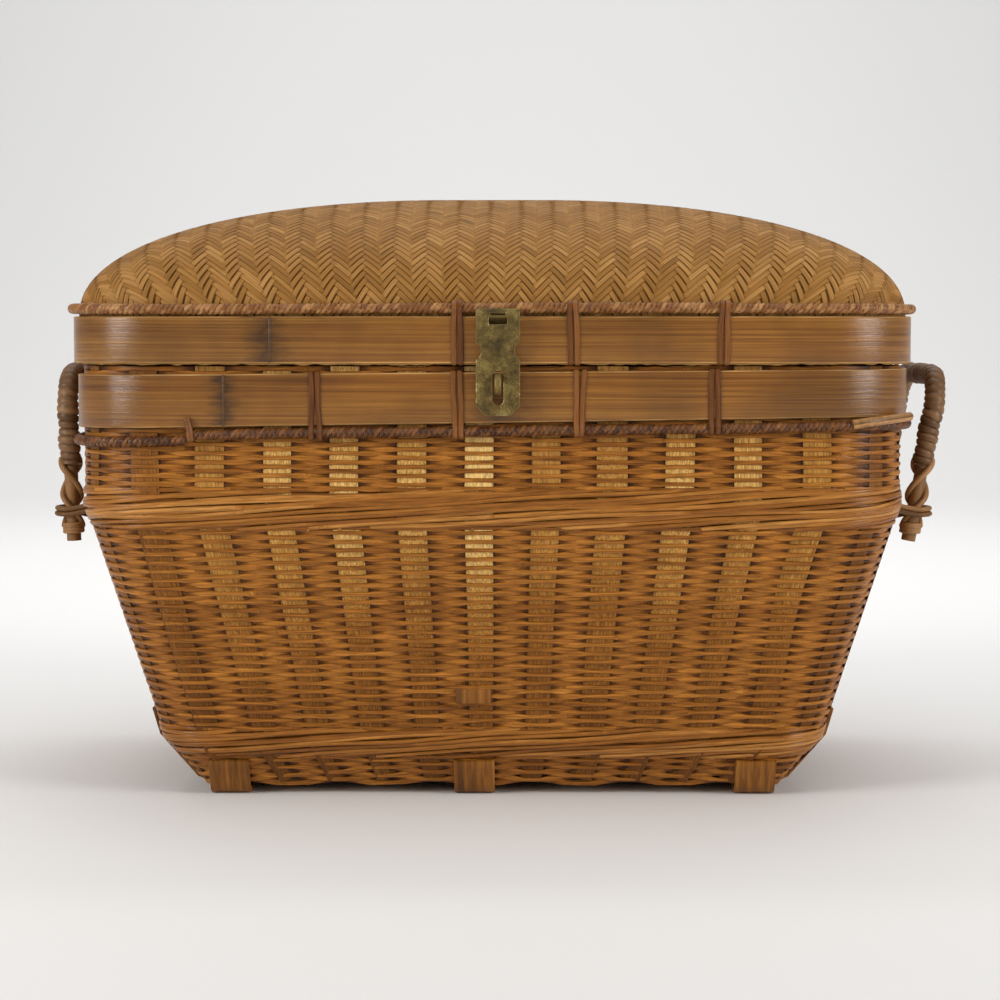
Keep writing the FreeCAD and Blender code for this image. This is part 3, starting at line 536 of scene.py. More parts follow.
def brass_material(name, stops):
    """Old brass: a rubbed alloy under a patchy brown tarnish. stops run from bare metal to full tarnish."""
    material, tree = fresh(name)
    where = add(tree, "TexCoord").outputs["Object"]
    cloud = add(tree, "TexNoise", (("Vector", where), ("Scale", 75.0), ("Detail", 5.0), ("Roughness", 0.7)))
    speck = add(tree, "TexNoise", (("Vector", where), ("Scale", 900.0), ("Detail", 3.0), ("Roughness", 0.55)))
    patchy = add(tree, "MapRange", ((0, cloud), (1, 0.36), (2, 0.64), (3, 0.08), (4, 0.85)))
    pitted = add(tree, "MapRange", ((0, speck), (1, 0.45), (2, 0.7), (3, 0.0), (4, 0.3)))
    share = add(tree, "Math", ((0, patchy), (1, pitted)), operation="ADD", use_clamp=True)
    colour = add(tree, "ValToRGB", (("Fac", share),), stops)
    gloss = add(tree, "MapRange", ((0, cloud), (1, 0.35), (2, 0.65), (3, 0.42), (4, 0.66)))
    relief = add(tree, "Bump", (("Strength", 0.25), ("Distance", 0.0003), ("Height", speck)))
    shader = add(tree, "BsdfPrincipled", (("Base Color", colour), ("Roughness", gloss), ("Normal", relief),
                                          ("Metallic", 0.7)))
    add(tree, "OutputMaterial", ((0, shader),))
    return material


# stains at the culm's nodes; the last patch is painted shade on the body band behind the hasp's slot
BAND_STAINS_AND_SHADE = ((-143, -190, 305, 15), (137, 190, 305, 15), (275, 60, 305, 14), (-171, -187, 268, 10),
              (96, 187, 269, 8), (-272, 25, 269, 8), (4.5, -187, 272, 20))
LOOKS = {
    # split rattan, varnished long ago: brown to honey along each length,
    # nearly black where a row passes behind a stake, as painted shade
    "weavers": (strand_material, "Split rattan weavers",
                ((0.0, "#180a02"), (0.16, "#5c310a"), (0.5, "#925819"), (0.8, "#b17229"), (1.0, "#d8a65c")),
                {"rough": 0.42, "coat": 0.08, "streak": 0.5}),
    # flat bamboo, planed: pale straw with fine hairlines along the stake, hardly any gloss
    "stakes": (strand_material, "Pale bamboo stakes",
               ((0.0, "#6b3f12"), (0.35, "#925c20"), (0.7, "#bf8b42"), (1.0, "#ecc277")),
               {"grain": (0.03, 10.0), "streak": 0.5, "edge": 0.15}),
    # split rattan, rounder and glossier than the weavers: long even strokes of warm brown
    "belts": (strand_material, "Split rattan belts",
              ((0.0, "#643708"), (0.4, "#8c5418"), (0.75, "#a46824"), (1.0, "#c08540")),
              {"rough": 0.38, "coat": 0.2}),
    # bamboo splints, shaved and left dry: matt tan, each splint its own shade, painted shade where one dives
    "mat": (strand_material, "Bamboo splints of the lid",
            ((0.0, "#4a2c0c"), (0.2, "#7a5220"), (0.6, "#97692f"), (1.0, "#b5864a")),
            {"grain": (0.03, 2.8), "streak": 0.3, "rough": 0.6, "edge": 0.4, "patch": 0.4}),
    # cane with its bark on, wound tight: grooves darkened with painted shade, and a small shine on every turn
    "cane": (strand_material, "Dark cane winding", ((0.0, "#4a2810"), (0.5, "#875529"), (1.0, "#c08e58")),
             {"grain": (0.3, 1.2), "rough": 0.36, "edge": 0.85, "coat": 0.2}),
    # split cane of the lashings: glossy red-brown bark
    "strip": (strand_material, "Split cane lashings", ((0.0, "#4a270f"), (0.5, "#74451f"), (1.0, "#98622f")),
              {"grain": (0.06, 2.5), "streak": 0.3, "rough": 0.36, "edge": 0.45, "coat": 0.2}),
    # rattan rod, bent by heat: smooth bark with long faint streaks
    "rattan": (strand_material, "Rattan rod", ((0.0, "#65431f"), (1.0, "#a3774a")),
               {"grain": (0.05, 3.0), "streak": 0.3, "rough": 0.42, "edge": 0.0, "coat": 0.15}),
    # split culm, varnished: fine fibres along the band, dark stains at the nodes, streaked highlights;
    # painted shade on the body band behind the hasp's slot
    "band": (plank_material, "Varnished bamboo bands",
             ((0.0, "#5c3508"), (0.35, "#794912"), (0.7, "#91601e"), (1.0, "#ac7932")),
             {"stretch": (5.0, 5.0, 620.0), "rough": 0.34, "coat": 0.5, "bump": 0.5, "streak": 0.25,
              "stains_and_shade": BAND_STAINS_AND_SHADE}),
    # the bands' rubbed edges, where the varnish is gone: paler and matt
    "band_edge": (plank_material, "Worn band edges", ((0.0, "#8a5a26"), (1.0, "#d0a468")),
                  {"stretch": (40.0, 40.0, 620.0), "rough": 0.5, "coat": 0.0}),
    # bamboo slats, split and bent up: bare wood with grain up and down their ends
    "slat": (plank_material, "Worn bamboo slats", ((0.0, "#5f3609"), (0.5, "#8a5518"), (1.0, "#ab7430")),
             {"stretch": (300.0, 30.0, 3.0), "rough": 0.5, "coat": 0.0, "streak": 0.6}),
    # broad bamboo splints of the floor, clean and dry
    "floor_mat": (strand_material, "Plaited bamboo floor", ((0.0, "#9a6a34"), (1.0, "#c79a5c")),
                  {"grain": (0.02, 5.0), "rough": 0.55}),
    # sheet brass, cut and tarnished: olive-brown clouds with a dull gleam
    "brass": (brass_material, "Tarnished brass", ((0.0, "#a08c50"), (0.45, "#705c31"), (1.0, "#3f351d")), {}),
    # brass that hands have rubbed, pale along its edges: partly real wear, partly painted highlight
    "worn": (brass_material, "Rubbed brass edges",
             ((0.0, "#e2d09a"), (0.45, "#705c31"), (1.0, "#8f7a48")), {}),
    # cane wound round the handles: grey-brown and dull from weather and hands
    "grip": (strand_material, "Weathered cane winding",
             ((0.0, "#4d3520"), (0.5, "#755436"), (1.0, "#977450")),
             {"grain": (0.3, 1.2), "streak": 0.3, "rough": 0.42, "edge": 0.55, "coat": 0.1}),
}
MADE = {}


def look(name):
    """The material of a name, made on first use."""
    if name not in MADE:
        maker, title, stops, settings = LOOKS[name]
        MADE[name] = maker(title, stops, **settings)
    return MADE[name]


# --- sizes and colours a user may change -----------------------------------------------------------------
class HamperSizes(bpy.types.PropertyGroup):
    """Sizes of the weaving, in metres."""

    row_pitch: bpy.props.FloatProperty(name="Row pitch", description="Height of one row of weavers",
                                       default=2.87 * MM, min=0.002, max=0.006, subtype="DISTANCE")
    weaver_thick: bpy.props.FloatProperty(name="Weaver thickness", description="Thickness of a split weaver",
                                          default=1.2 * MM, min=0.0004, max=0.002, subtype="DISTANCE")
    stake_width: bpy.props.FloatProperty(name="Stake width", description="Width of a flat upright stake",
                                         default=19.0 * MM, min=0.008, max=0.03, subtype="DISTANCE")
    splint_width: bpy.props.FloatProperty(name="Splint width", description="Width of a splint of the lid",
                                          default=3.6 * MM, min=0.003, max=0.01, subtype="DISTANCE")
    twill_over: bpy.props.IntProperty(name="Twill float", description="Splints passed over and then under",
                                      default=4, min=2, max=5)
    wrap_pitch: bpy.props.FloatProperty(name="Winding pitch", description="Width of a turn of the rods' cane",
                                        default=3.4 * MM, min=0.002, max=0.008, subtype="DISTANCE")
    strip_width: bpy.props.FloatProperty(name="Lashing width", description="Width of a strip of a lashing",
                                         default=3.6 * MM, min=0.002, max=0.008, subtype="DISTANCE")


class HamperColours(bpy.types.PropertyGroup):
    """Colours of the stage."""

    floor: bpy.props.FloatVectorProperty(name="Floor", description="Colour of the floor and backdrop",
                                         default=(0.80, 0.79, 0.775), min=0.0, max=1.0, subtype="COLOR")


def sizes():
    return bpy.context.scene.hamper_sizes


# --- the woven wall --------------------------------------------------------------------------------------
STEPS = 10                   # samples of a weaver from stake to stake


def ring_of(z, out, width, thick, strands, tone, place=None):
    place = np.arange(STAKES * STEPS) / STEPS if place is None else place
    points, outs = on_wall(place, z, out)
    strands.add(points, outs, width, thick, tone, closed=True)


def weave_rows(strands, low, high, pitch, first, width=1.34, sway=0.0):
    """Rings of weaver between two heights, each passing in front of every other stake."""
    rng = np.random.default_rng(int(low * 10) + 3)
    place = np.arange(STAKES * STEPS) / STEPS
    count = max(1, round((high - low) / pitch))
    step = (high - low) / count
    thick = sizes().weaver_thick / MM
    for row in range(count):
        wave = np.cos(math.pi * (place + row + first))
        over = np.tanh(2.3 * wave) / math.tanh(2.3)
        wander = smooth_noise(len(place), 26, first * 991 + row * 7 + int(low)) * 0.24
        z = low + (row + 0.5) * step + wander - sway * wave * step
        beside = np.abs(place - np.round(place))
        tone = 0.4 + 0.2 * patches(len(place), 7, rng) + 0.16 * rng.random()
        tone *= 1 - 0.86 * np.clip((0.37 - beside) / 0.09, 0, 1) * (wave < 0)      # painted shade where a row passes behind a stake
        near = np.clip((0.27 - beside) / 0.08, 0, 1) * (wave > 0)
        full = np.exp(-((beside - 0.36) / 0.06) ** 2) * (wave > 0)      # rows crowd together beside a stake
        wide = width - 0.42 * near + 0.3 * full + 0.08 * smooth_noise(len(place), 40, row * 13 + first)
        wide = step * np.maximum(wide, 0.82)
        out = -1.25 + 0.88 * over + 0.1 * smooth_noise(len(place), 60, row * 3 + 5)
        ring_of(z, out, wide, thick, strands, np.clip(tone, 0, 1), place)
    return first + count


def wall_pieces():
    """The zones of plain weave, as (name, strands, nodes)."""
    pitch = sizes().row_pitch / MM
    low = Strands()
    row = weave_rows(low, FLOOR_LOW - 0.5, FLOOR_LOW + 11.0, pitch * 1.1, 0, width=1.5, sway=0.42)
    row = weave_rows(low, FLOOR_LOW + 11.0, LOW_BELT[0] + 1.0, pitch * 1.05, row, width=1.4, sway=0.1)
    middle = (LOW_BELT[1] + HIGH_BELT[0]) / 2
    main_low, main_high, top = Strands(), Strands(), Strands()
    row = weave_rows(main_low, LOW_BELT[1] - 1.5, middle, pitch, row)
    row = weave_rows(main_high, middle, HIGH_BELT[0] + 1.5, pitch, row)
    row = weave_rows(top, HIGH_BELT[1] - 1.5, LIP - 0.2, pitch, row)
    return [("wall_weave_low", low, ["lower_weave"]), ("wall_weave_main_low", main_low, ["main_weave"]),
            ("wall_weave_main_high", main_high, []), ("wall_weave_top", top, ["upper_weave"])]


STAKE_TONES = {-4: 0.66, -3: 0.88, -2: 0.92, -1: 0.86, 0: 1.15, 1: 0.66, 2: 0.74, 3: 0.9, 4: 0.8, 5: 0.6}
STAKE_FADE = [7, 60, 110, 160, 205, 260], [0.02, 0.14, 0.4, 0.72, 0.95, 0.8]      # heights, share of the tone


def stake_strands():
    """Flat stakes at the middle of the weave's thickness, palest at the front's middle and near the rim."""
    strands = Strands()
    rng = np.random.default_rng(8)
    z = np.concatenate([[FLOOR_HIGH + 0.6], np.linspace(FLOOR_HIGH + 4, FOOT_Z, 6), np.linspace(48, LIP, 26)])
    for number in range(STAKES):
        shift = 0.02 * smooth_noise(len(z), 2, number + 50)
        points, outs = on_wall(number + shift, z, -1.25)
        squeeze = np.interp(z, [FLOOR_LOW, 40, UPRIGHT_Z, LIP], [0.78, 0.84, 1.0, 1.0])
        facing = np.abs(on_section(RIM, number + shift, z, 0)[1]).max(1)
        cornered = np.clip((1 - facing) / 0.05, 0, 1)      # flat stakes lie deeper where the wall turns
        points = points - outs * (0.45 * cornered)[:, None]
        squeeze = squeeze * (1 - 0.35 * cornered)
        width = sizes().stake_width / MM * squeeze * rng.uniform(0.92, 1.06)
        number = number if number < STAKES / 2 else number - STAKES
        tone = STAKE_TONES.get(number, rng.uniform(0.08, 0.3)) * np.interp(z, *STAKE_FADE)
        tone = tone + 0.06 * smooth_noise(len(z), 5, number + 300)
        strands.add(points, outs, width, 0.75, tone, shape=SLAT)
    return strands


def belt_strands(low, high, slope, spacing, width, seed):
    """Split rattans that climb slantwise across a belt, outside and inside the wall."""
    strands = Strands()
    rng = np.random.default_rng(seed)
    rise = high - low - width * 0.7
    length = rise / slope / PITCH
    for side, rest in ((1, 0.15), (-1, -3.0)):
        count = int(STAKES * PITCH * slope / spacing)
        for k in range(count):
            start = k * STAKES / count + rng.uniform(-0.3, 0.3)
            place = start + np.linspace(0, length + rng.uniform(-0.3, 0.9), int(length * 6) + 2)
            share = np.linspace(0, 1, len(place))
            z = low + width * 0.35 + rise * share + 0.9 * smooth_noise(len(place), 3, seed * 100 + k)
            dive = np.clip(np.minimum(share, 1 - share) * length / 0.6, 0, 1)
            swell = 0.45 * np.sin(share * math.pi) + 0.35 * rng.random()
            lift = rest + side * swell - side * 2.4 * (1 - dive) ** 2
            flip = place if side > 0 else STAKES - place
            points, outs = on_wall(flip, z, lift)
            strands.add(points, outs * side, width * rng.uniform(0.8, 1.2), 1.3,
                        0.25 + 0.55 * patches(len(place), 2, rng) + 0.2 * rng.random())
        for k in range(int((high - low) / 3.4)):       # plain rows close the wall behind the slanting strands
            place = np.arange(STAKES * STEPS) / STEPS
            z = low + (k + 0.5) * (high - low) / int((high - low) / 3.4)
            wave = np.tanh(2.3 * np.cos(math.pi * (place + k)))
            if side > 0:
                ring_of(np.full(len(place), z), -1.35 + 0.45 * wave, 3.2, 0.8, strands, 0.3)
    return strands


# --- the lid's mat ---------------------------------------------------------------------------------------
MAT = LID.grown(-MAT_IN)
DOME = DOME_TOP - LID_HIGH + 0.2       # height of the crown above the lid's band
SQUARE = 2.2                           # the dome's profile: 2 is an ellipse, and more is squarer


def arc_table(half, height):
    """Arc length from the crown against distance out, on a quarter of the dome's profile."""
    turn = np.linspace(0, math.pi / 2, 400)
    out, rise = np.sin(turn) ** (2 / SQUARE), np.clip(np.cos(turn), 0, 1) ** (2 / SQUARE)
    return np.concatenate([[0], np.cumsum(np.hypot(np.diff(half * out), np.diff(height * rise)))]), out


LENGTH_X = float(arc_table(float(MAT.half_x), DOME)[0][-1])
LENGTH_Y = float(arc_table(float(MAT.half_y), DOME)[0][-1])
TABLE_LENGTH, TABLE_OUT = arc_table((float(MAT.half_x) + float(MAT.half_y)) / 2, DOME)
SKIRT_LENGTH = float(TABLE_LENGTH[-1])


def gauge(x, y, section):
    """How many times the section must be enlarged, about the middle, to pass through points."""
    x, y = np.abs(x), np.abs(y)
    hx, hy, r = (float(v) for v in (section.half_x, section.half_y, section.radius))
    cx, cy = hx - r, hy - r
    flat = np.maximum(x / hx, y / hy)
    a, b, c = x * x + y * y + 1e-9, x * cx + y * cy, cx * cx + cy * cy - r * r
    inverse = (b + np.sqrt(np.maximum(b * b - a * c, 0))) / a
    corner = (x * inverse > cx) & (y * inverse > cy)
    return np.where(corner, 1 / np.maximum(inverse, 1e-9), flat)


def on_dome(x, y):
    """Points of the mat's middle surface, for places on the flat mat before it was domed, and their gauge."""
    px, py = x * float(MAT.half_x) / LENGTH_X, y * float(MAT.half_y) / LENGTH_Y
    far = gauge(px, py, MAT.grown(-0.9))
    out = np.interp(np.clip(far, 0, 1) * SKIRT_LENGTH, TABLE_LENGTH, TABLE_OUT)
    scale = np.where(far > 1e-6, out / np.maximum(far, 1e-6), 1.0)
    z = LID_HIGH + (DOME - 0.9) * np.clip(1 - out ** SQUARE, 0, 1) ** (1 / SQUARE)
    z -= np.maximum(far - 1, 0) * SKIRT_LENGTH
    return np.stack([px * scale, py * scale, z], -1), far


def dome_strands(way):
    """Splints that run one way across the flat mat, at 45 degrees, as two lots of strands."""
    width, over = sizes().splint_width / MM, sizes().twill_over
    rng = np.random.default_rng(30 + way)
    across = np.array([1.0, way]) / math.sqrt(2)
    ahead = np.array([1.0, -way]) / math.sqrt(2)
    reach = (LENGTH_X + LENGTH_Y + 80) / math.sqrt(2)
    lots = [Strands(), Strands()]
    count = int(reach / width) + 1
    for number in range(-count, count + 1):
        t = np.arange(-reach, reach, width * 0.7)
        line = number * width
        x, y = line * across[0] + t * ahead[0], line * across[1] + t * ahead[1]
        points, far = on_dome(x, y)
        limit = 1 + (LID_HIGH - LID_LOW - 2.5 * rng.random()) / SKIRT_LENGTH
        inside = np.flatnonzero(far < limit)
        if len(inside) < 4:
            continue
        keep = slice(inside[0], inside[-1] + 1)
        x, y, points = x[keep], y[keep], points[keep]
        step = 0.5
        outs = np.cross(on_dome(x + step, y)[0] - on_dome(x - step, y)[0],
                        on_dome(x, y + step)[0] - on_dome(x, y - step)[0])
        outs /= np.linalg.norm(outs, axis=1, keepdims=True) + 1e-9
        phase = x / (width / math.sqrt(2)) + 0.5
        lift = np.tanh(3.0 * np.sin(math.pi * phase / over)) * way
        points = points + outs * (0.5 * lift)[:, None]
        tone = 0.38 + rng.random() * 0.3 + 0.3 * patches(len(x), 2, rng)
        # painted shade: a splint darkens where it dives under its neighbours
        tone = tone * np.clip(1.2 + 0.9 * lift, 0.2, 1)
        lots[number % 2].add(points, outs, width * rng.uniform(0.93, 1.0), 0.55, tone, shape=SPLINT)
    return lots


# --- rods, lashings and ties -----------------------------------------------------------------------------
def lean(x, share=0.0):
    """How far the body's rod (share 0) and its band's upper edge (share 1) rise towards the right."""
    return (0.015 - 0.008 * share) * x


def cord_strands(section, start, length, drop, radius, tone, seed):
    """A rod wound with cane, lying round a section from a place, over a number of stakes."""
    strands = Strands()
    pitch = sizes().wrap_pitch / MM
    closed = length >= STAKES
    count = int(min(length, STAKES) * PITCH / pitch * 7)
    place = start + np.linspace(0, min(length, STAKES), count, endpoint=not closed)
    wobble = 0.35 * smooth_noise(count, 9, seed)
    points = on_section(section, place, 0, radius + 0.3 + 0.2 * smooth_noise(count, 7, seed + 1))[0]
    points[:, 2] += wobble + np.linspace(0, drop, count) + (lean(points[:, 0]) if drop else 0)
    size = radius * (1 + 0.05 * smooth_noise(count, 30, seed + 2))
    strands.rod(points, size, tone, closed, sides=12, wrap=(pitch, 1.7, 3))
    return strands


def lashing(strands, face, along, section, inside, z0, z1, rod, tone, width, slip=0.0):
    """A closed strip round a band and the rod at its edge, rod = (distance out, height, radius)."""
    out, level, radius = rod
    far, t = radius + 0.5, 0.7
    turns = np.radians(np.linspace(-40, 165, 12))
    if level > z1:
        bow = [(out + far * math.cos(a), level + far * math.sin(a)) for a in turns]
        path = [(t, z0 + 1), (t, (z0 + z1) / 2), (t, z1 - 2)] + bow
        path += [(-inside - t, z1 - 3), (-inside - t, z0 + 1), (-inside + 1, z0 - t), (t - 1.5, z0 - t)]
    else:
        bow = [(out + far * math.cos(a), level - far * math.sin(a)) for a in turns[::-1]]
        path = bow + [(t, z0 + 2), (t, (z0 + z1) / 2), (t, z1 - 1), (t - 1.5, z1 + t), (-inside + 1, z1 + t),
                      (-inside - t, z1 - 1), (-inside - t, z0 + 3)]
    path = bend([(o, z, 0) for o, z in path + path[:1]], 3)[:-1, :2]
    middle = path.mean(0)
    reach = float(section.half_y if face % 2 == 0 else section.half_x)
    share = (path[:, 1] - z0) / (z1 - z0)
    side = along + slip * (share - 0.5) + 0.25 * np.sin(share * 5 + along)
    points = np.stack([side, -reach - path[:, 0], path[:, 1]], -1)
    ahead = np.roll(path, -1, 0) - np.roll(path, 1, 0)
    normal = np.stack([ahead[:, 1], -ahead[:, 0]], -1)
    if np.einsum("ij,ij->", normal, path - middle) < 0:
        normal = -normal
    outs = np.stack([np.zeros(len(path)), -normal[:, 0], normal[:, 1]], -1)
    turn = np.radians(90 * face)
    spin = np.array([[math.cos(turn), -math.sin(turn), 0], [math.sin(turn), math.cos(turn), 0], [0, 0, 1]])
    strands.add(points @ spin.T, outs @ spin.T, width, 1.0, tone, closed=True)


def strip_places(node):
    """(face, distance along the face) of each strip of a lashings node, read from its solids' places."""
    mesh = frame["nodes"][node].data
    corner = np.array([tuple(v.co) for v in mesh.vertices]) / MM
    section = LID if node == "lid_lashings" else BODY
    found = []
    for face in range(4):
        turn = np.radians(-90 * face)
        x = corner[:, 0] * math.cos(turn) - corner[:, 1] * math.sin(turn)
        y = corner[:, 0] * math.sin(turn) + corner[:, 1] * math.cos(turn)
        reach = float(section.half_y if face % 2 == 0 else section.half_x)
        edges = np.unique(np.round(x[y < -reach - 0.5], 1))
        found += [(face, (a + b) / 2) for a, b in zip(edges[:-1], edges[1:]) if 2.5 < b - a < 4.2]
    return found


# --- operators -------------------------------------------------------------------------------------------
class Maker:
    """What the operators share: they stop with the error that happened."""

    bl_options = {"REGISTER", "UNDO"}

    def execute(self, context):
        self.make()
        return {"FINISHED"}


class HAMPER_OT_wall(Maker, bpy.types.Operator):
    """Weaves the plain-weave wall below, between and above the belts"""

    bl_idname = "hamper.wall"
    bl_label = "Wall Weave"

    def make(self):
        for name, strands, nodes in wall_pieces():
            dressed(strands.object(name, look("weavers"), 50), "basket", "bamboo_weavers", None, *nodes)


class HAMPER_OT_stakes(Maker, bpy.types.Operator):
    """Makes the flat stakes that the wall is woven on"""

    bl_idname = "hamper.stakes"
    bl_label = "Stakes"

    def make(self):
        piece = stake_strands().object("flat_stakes", look("stakes"))
        dressed(piece, "basket", "pale_bamboo", None, "wall_stakes")


class HAMPER_OT_belts(Maker, bpy.types.Operator):
    """Makes the two belts of slanting split rattan"""

    bl_idname = "hamper.belts"
    bl_label = "Belts"

    def make(self):
        for name, levels, slope, node, seed in (("slanting_belt_upper", HIGH_BELT, 0.062, "upper_belt", 4),
                                                ("slanting_belt_lower", LOW_BELT, 0.055, "lower_belt", 9)):
            strands = belt_strands(levels[0] - 1, levels[1] + 1, slope, 2.5, 2.9, seed)
            dressed(strands.object(name, look("belts"), 60), "basket", "bamboo_weavers", None, node)


class HAMPER_OT_dome(Maker, bpy.types.Operator):
    """Plaits the twilled, domed mat of the lid"""

    bl_idname = "hamper.dome"
    bl_label = "Lid Mat"

    def make(self):
        for way in (1, -1):
            for lot, strands in enumerate(dome_strands(way)):
                name = "lid_splints_%s_%d" % ("right" if way > 0 else "left", lot + 1)
                nodes = ["lid_dome"] if (way, lot) == (1, 0) else []
                if nodes:                              # the mat's ragged lower edge, bound with a pale splint
                    place = np.arange(STAKES * 30) / 30
                    level = LID_LOW + 0.3 + 0.3 * smooth_noise(len(place), 120, 61)
                    points, outs = on_section(MAT, place, level, 0.9)
                    wide = 2.4 + 0.5 * smooth_noise(len(place), 240, 62)
                    tone = np.clip(0.9 + 0.1 * smooth_noise(len(place), 300, 63), 0, 1)
                    strands.add(points, outs, wide, 1.0, tone, closed=True)
                dressed(strands.object(name, look("mat")), "lid", "bamboo_mat", None, *nodes)


def hoop(name, section, thick, z0, z1, ridges=()):
    """A band of split culm round a section, from an outlined plane: extruded, solidified and bevelled."""
    bpy.ops.object.select_all(action="DESELECT")
    bpy.ops.mesh.primitive_plane_add(size=1, location=(0, 0, z0 * MM))
    piece = named(name)
    piece.scale = (2 * float(section.half_x) * MM, 2 * float(section.half_y) * MM, 1)
    settle(piece)
    bpy.ops.object.mode_set(mode="EDIT")
    bpy.ops.mesh.select_mode(type="VERT")
    bpy.ops.mesh.select_all(action="SELECT")
    bpy.ops.mesh.bevel(offset=float(section.radius) * MM, offset_type="OFFSET", segments=18,
                       affect="VERTICES")
    bpy.ops.mesh.select_all(action="SELECT")
    bpy.ops.mesh.delete(type="ONLY_FACE")
    thickened((0, 0, z1 - z0))
    with_modifier(piece, "SOLIDIFY", thickness=thick * MM, offset=-1.0)
    for material in ("band", "band_edge"):
        piece.data.materials.append(look(material))
    with_modifier(piece, "BEVEL", width=0.9 * MM, segments=3, limit_method="ANGLE",
                  angle_limit=math.radians(50), material=1)
    for x, y, turn, width in ridges:
        ridge = block(name + "_ridge", -width / 2, width / 2, -0.55, 0.8, z0 + 0.6, z1 - 0.6)
        ridge.data.materials.append(look("band"))
        bevelled(ridge, 0.5, 3)
        ridge.data.transform(Matrix.Rotation(turn, 4, "Z"))
        ridge.data.transform(Matrix.Translation(Vector((x, y, 0)) * MM))
        piece = joined(name, [ridge, piece])
    bpy.ops.object.shade_smooth_by_angle(angle=math.radians(30))
    return piece


def sheared(piece):
    """Leans a body band, which is narrower on the right."""
    for vertex in piece.data.vertices:
        share = (vertex.co.z / MM - BODY_LOW) / (BODY_HIGH - BODY_LOW)
        vertex.co.z += lean(vertex.co.x, share)
    return piece


class HAMPER_OT_bands(Maker, bpy.types.Operator):
    """Makes the inner and outer bamboo bands of the body and the lid"""

    bl_idname = "hamper.bands"
    bl_label = "Bands"

    def make(self):
        lid_x, lid_y = float(LID.half_x), float(LID.half_y)
        body_x, body_y = float(BODY.half_x), float(BODY.half_y)
        side, wide = math.pi / 2, 1.6
        lid_ridges = [(-141.0, -lid_y, 0, wide), (137.0, lid_y, 0, wide), (lid_x, 60.0, side, wide)]
        body_ridges = [(-171.0, -body_y, 0, wide), (96.0, body_y, 0, wide), (-body_x, 25.0, side, wide)]
        lid_inner = low_high("lid_inner_band")[1]
        body_inner = low_high("body_inner_band")[1]
        lid_in = LID.grown(lid_inner.x - float(LID.half_x))
        body_in = BODY.grown(body_inner.x - float(BODY.half_x))
        for name, section, low, high, ridges, body, node in (
                ("lid_culm_outer", LID, LID_LOW, LID_HIGH, lid_ridges, "lid", "lid_outer_band"),
                ("lid_culm_inner", lid_in, LID_LOW, LID_HIGH, (), "lid", "lid_inner_band"),
                ("body_culm_outer", BODY, BODY_LOW, BODY_HIGH, body_ridges, "basket", "body_outer_band"),
                ("body_culm_inner", body_in, BODY_LOW, BODY_HIGH, (), "basket", "body_inner_band")):
            piece = hoop(name, section, 3.3, low, high, ridges)
            if body == "basket":
                sheared(piece)
            dressed(piece, body, "bamboo_band", None, node)


class HAMPER_OT_cords(Maker, bpy.types.Operator):
    """Winds the cane-covered rods along the edges of the two bands"""

    bl_idname = "hamper.cords"
    bl_label = "Rim Rods"

    def make(self):
        lid_low, lid_high = (corner.z for corner in low_high("lid_rim_cord"))
        radius = (lid_high - lid_low) / 2
        lid = cord_strands(MAT, 0, STAKES, 0, radius - 0.8, 0.6, 21)
        for points in lid.points:
            points[:, 2] += (lid_high + lid_low) / 2 - 0.8
        dressed(lid.object("lid_wound_rod", look("cane"), 50), "lid", "dark_cane", None, "lid_rim_cord")
        body_low, body_high = (corner.z for corner in low_high("body_rim_cord"))
        body = cord_strands(RIM, place_of(-190.0), STAKES - 0.1, -3.2, radius - 0.7, 0.2, 33)
        for points in body.points:
            points[:, 2] += (body_high + body_low) / 2 + 0.8
        half_x, half_y = float(RIM.half_x), float(RIM.half_y)
        twig = bend([(-192, -half_y - 5.5, body_low - 1.5), (-192.5, -half_y - 6.2, body_low + 5),
                     (-194.5, -half_y - 6.0, body_high + 5)])
        body.rod(twig, np.linspace(2.6, 1.9, len(twig)), 0.4)
        spare = bend([(half_x + x, y - half_y, body_high + z) for x, y, z in
                      ((-38, -3.8, 0.6), (-26, -1.0, 2.3), (-10, 9, 3.8), (2, 22, 5.0))])
        body.rod(spare, np.linspace(3.2, 2.9, len(spare)), 0.9)
        dressed(body.object("body_wound_rod", look("cane"), 50), "basket", "dark_cane", None, "body_rim_cord")


class HAMPER_OT_lashings(Maker, bpy.types.Operator):
    """Ties the bands with pairs of rattan strips"""

    bl_idname = "hamper.lashings"
    bl_label = "Lashings"

    def make(self):
        width = sizes().strip_width / MM
        rng = np.random.default_rng(77)
        for start, section, low, high, body, base in (("lid", LID, LID_LOW, LID_HIGH, "lid", MAT),
                                                      ("body", BODY, BODY_LOW, BODY_HIGH, "basket", RIM)):
            node = start + "_lashings"
            depth = float(section.half_y) - low_high(start + "_inner_band")[1].y + 3.5
            rim_low, rim_high = (corner.z for corner in low_high(start + "_rim_cord"))
            radius = (rim_high - rim_low) / 2 - 0.8
            out = float(base.half_y) + radius + 0.4 - float(section.half_y)
            strands = Strands()
            for face, along in strip_places(node):
                right = (along, float(section.half_x), -along, -float(section.half_x))[face]
                up, top = (lean(right), lean(right, 1)) if body == "basket" else (0, 0)
                rod = out, (rim_low + rim_high) / 2 + up, radius
                tone = 0.25 + 0.6 * rng.random()
                lashing(strands, face, along, section, depth, low + up, high + top, rod, tone, width,
                        slip=rng.uniform(-1.6, 1.6))
            dressed(strands.object(start + "_strips", look("strip"), 50), body, "dark_cane", None, node)


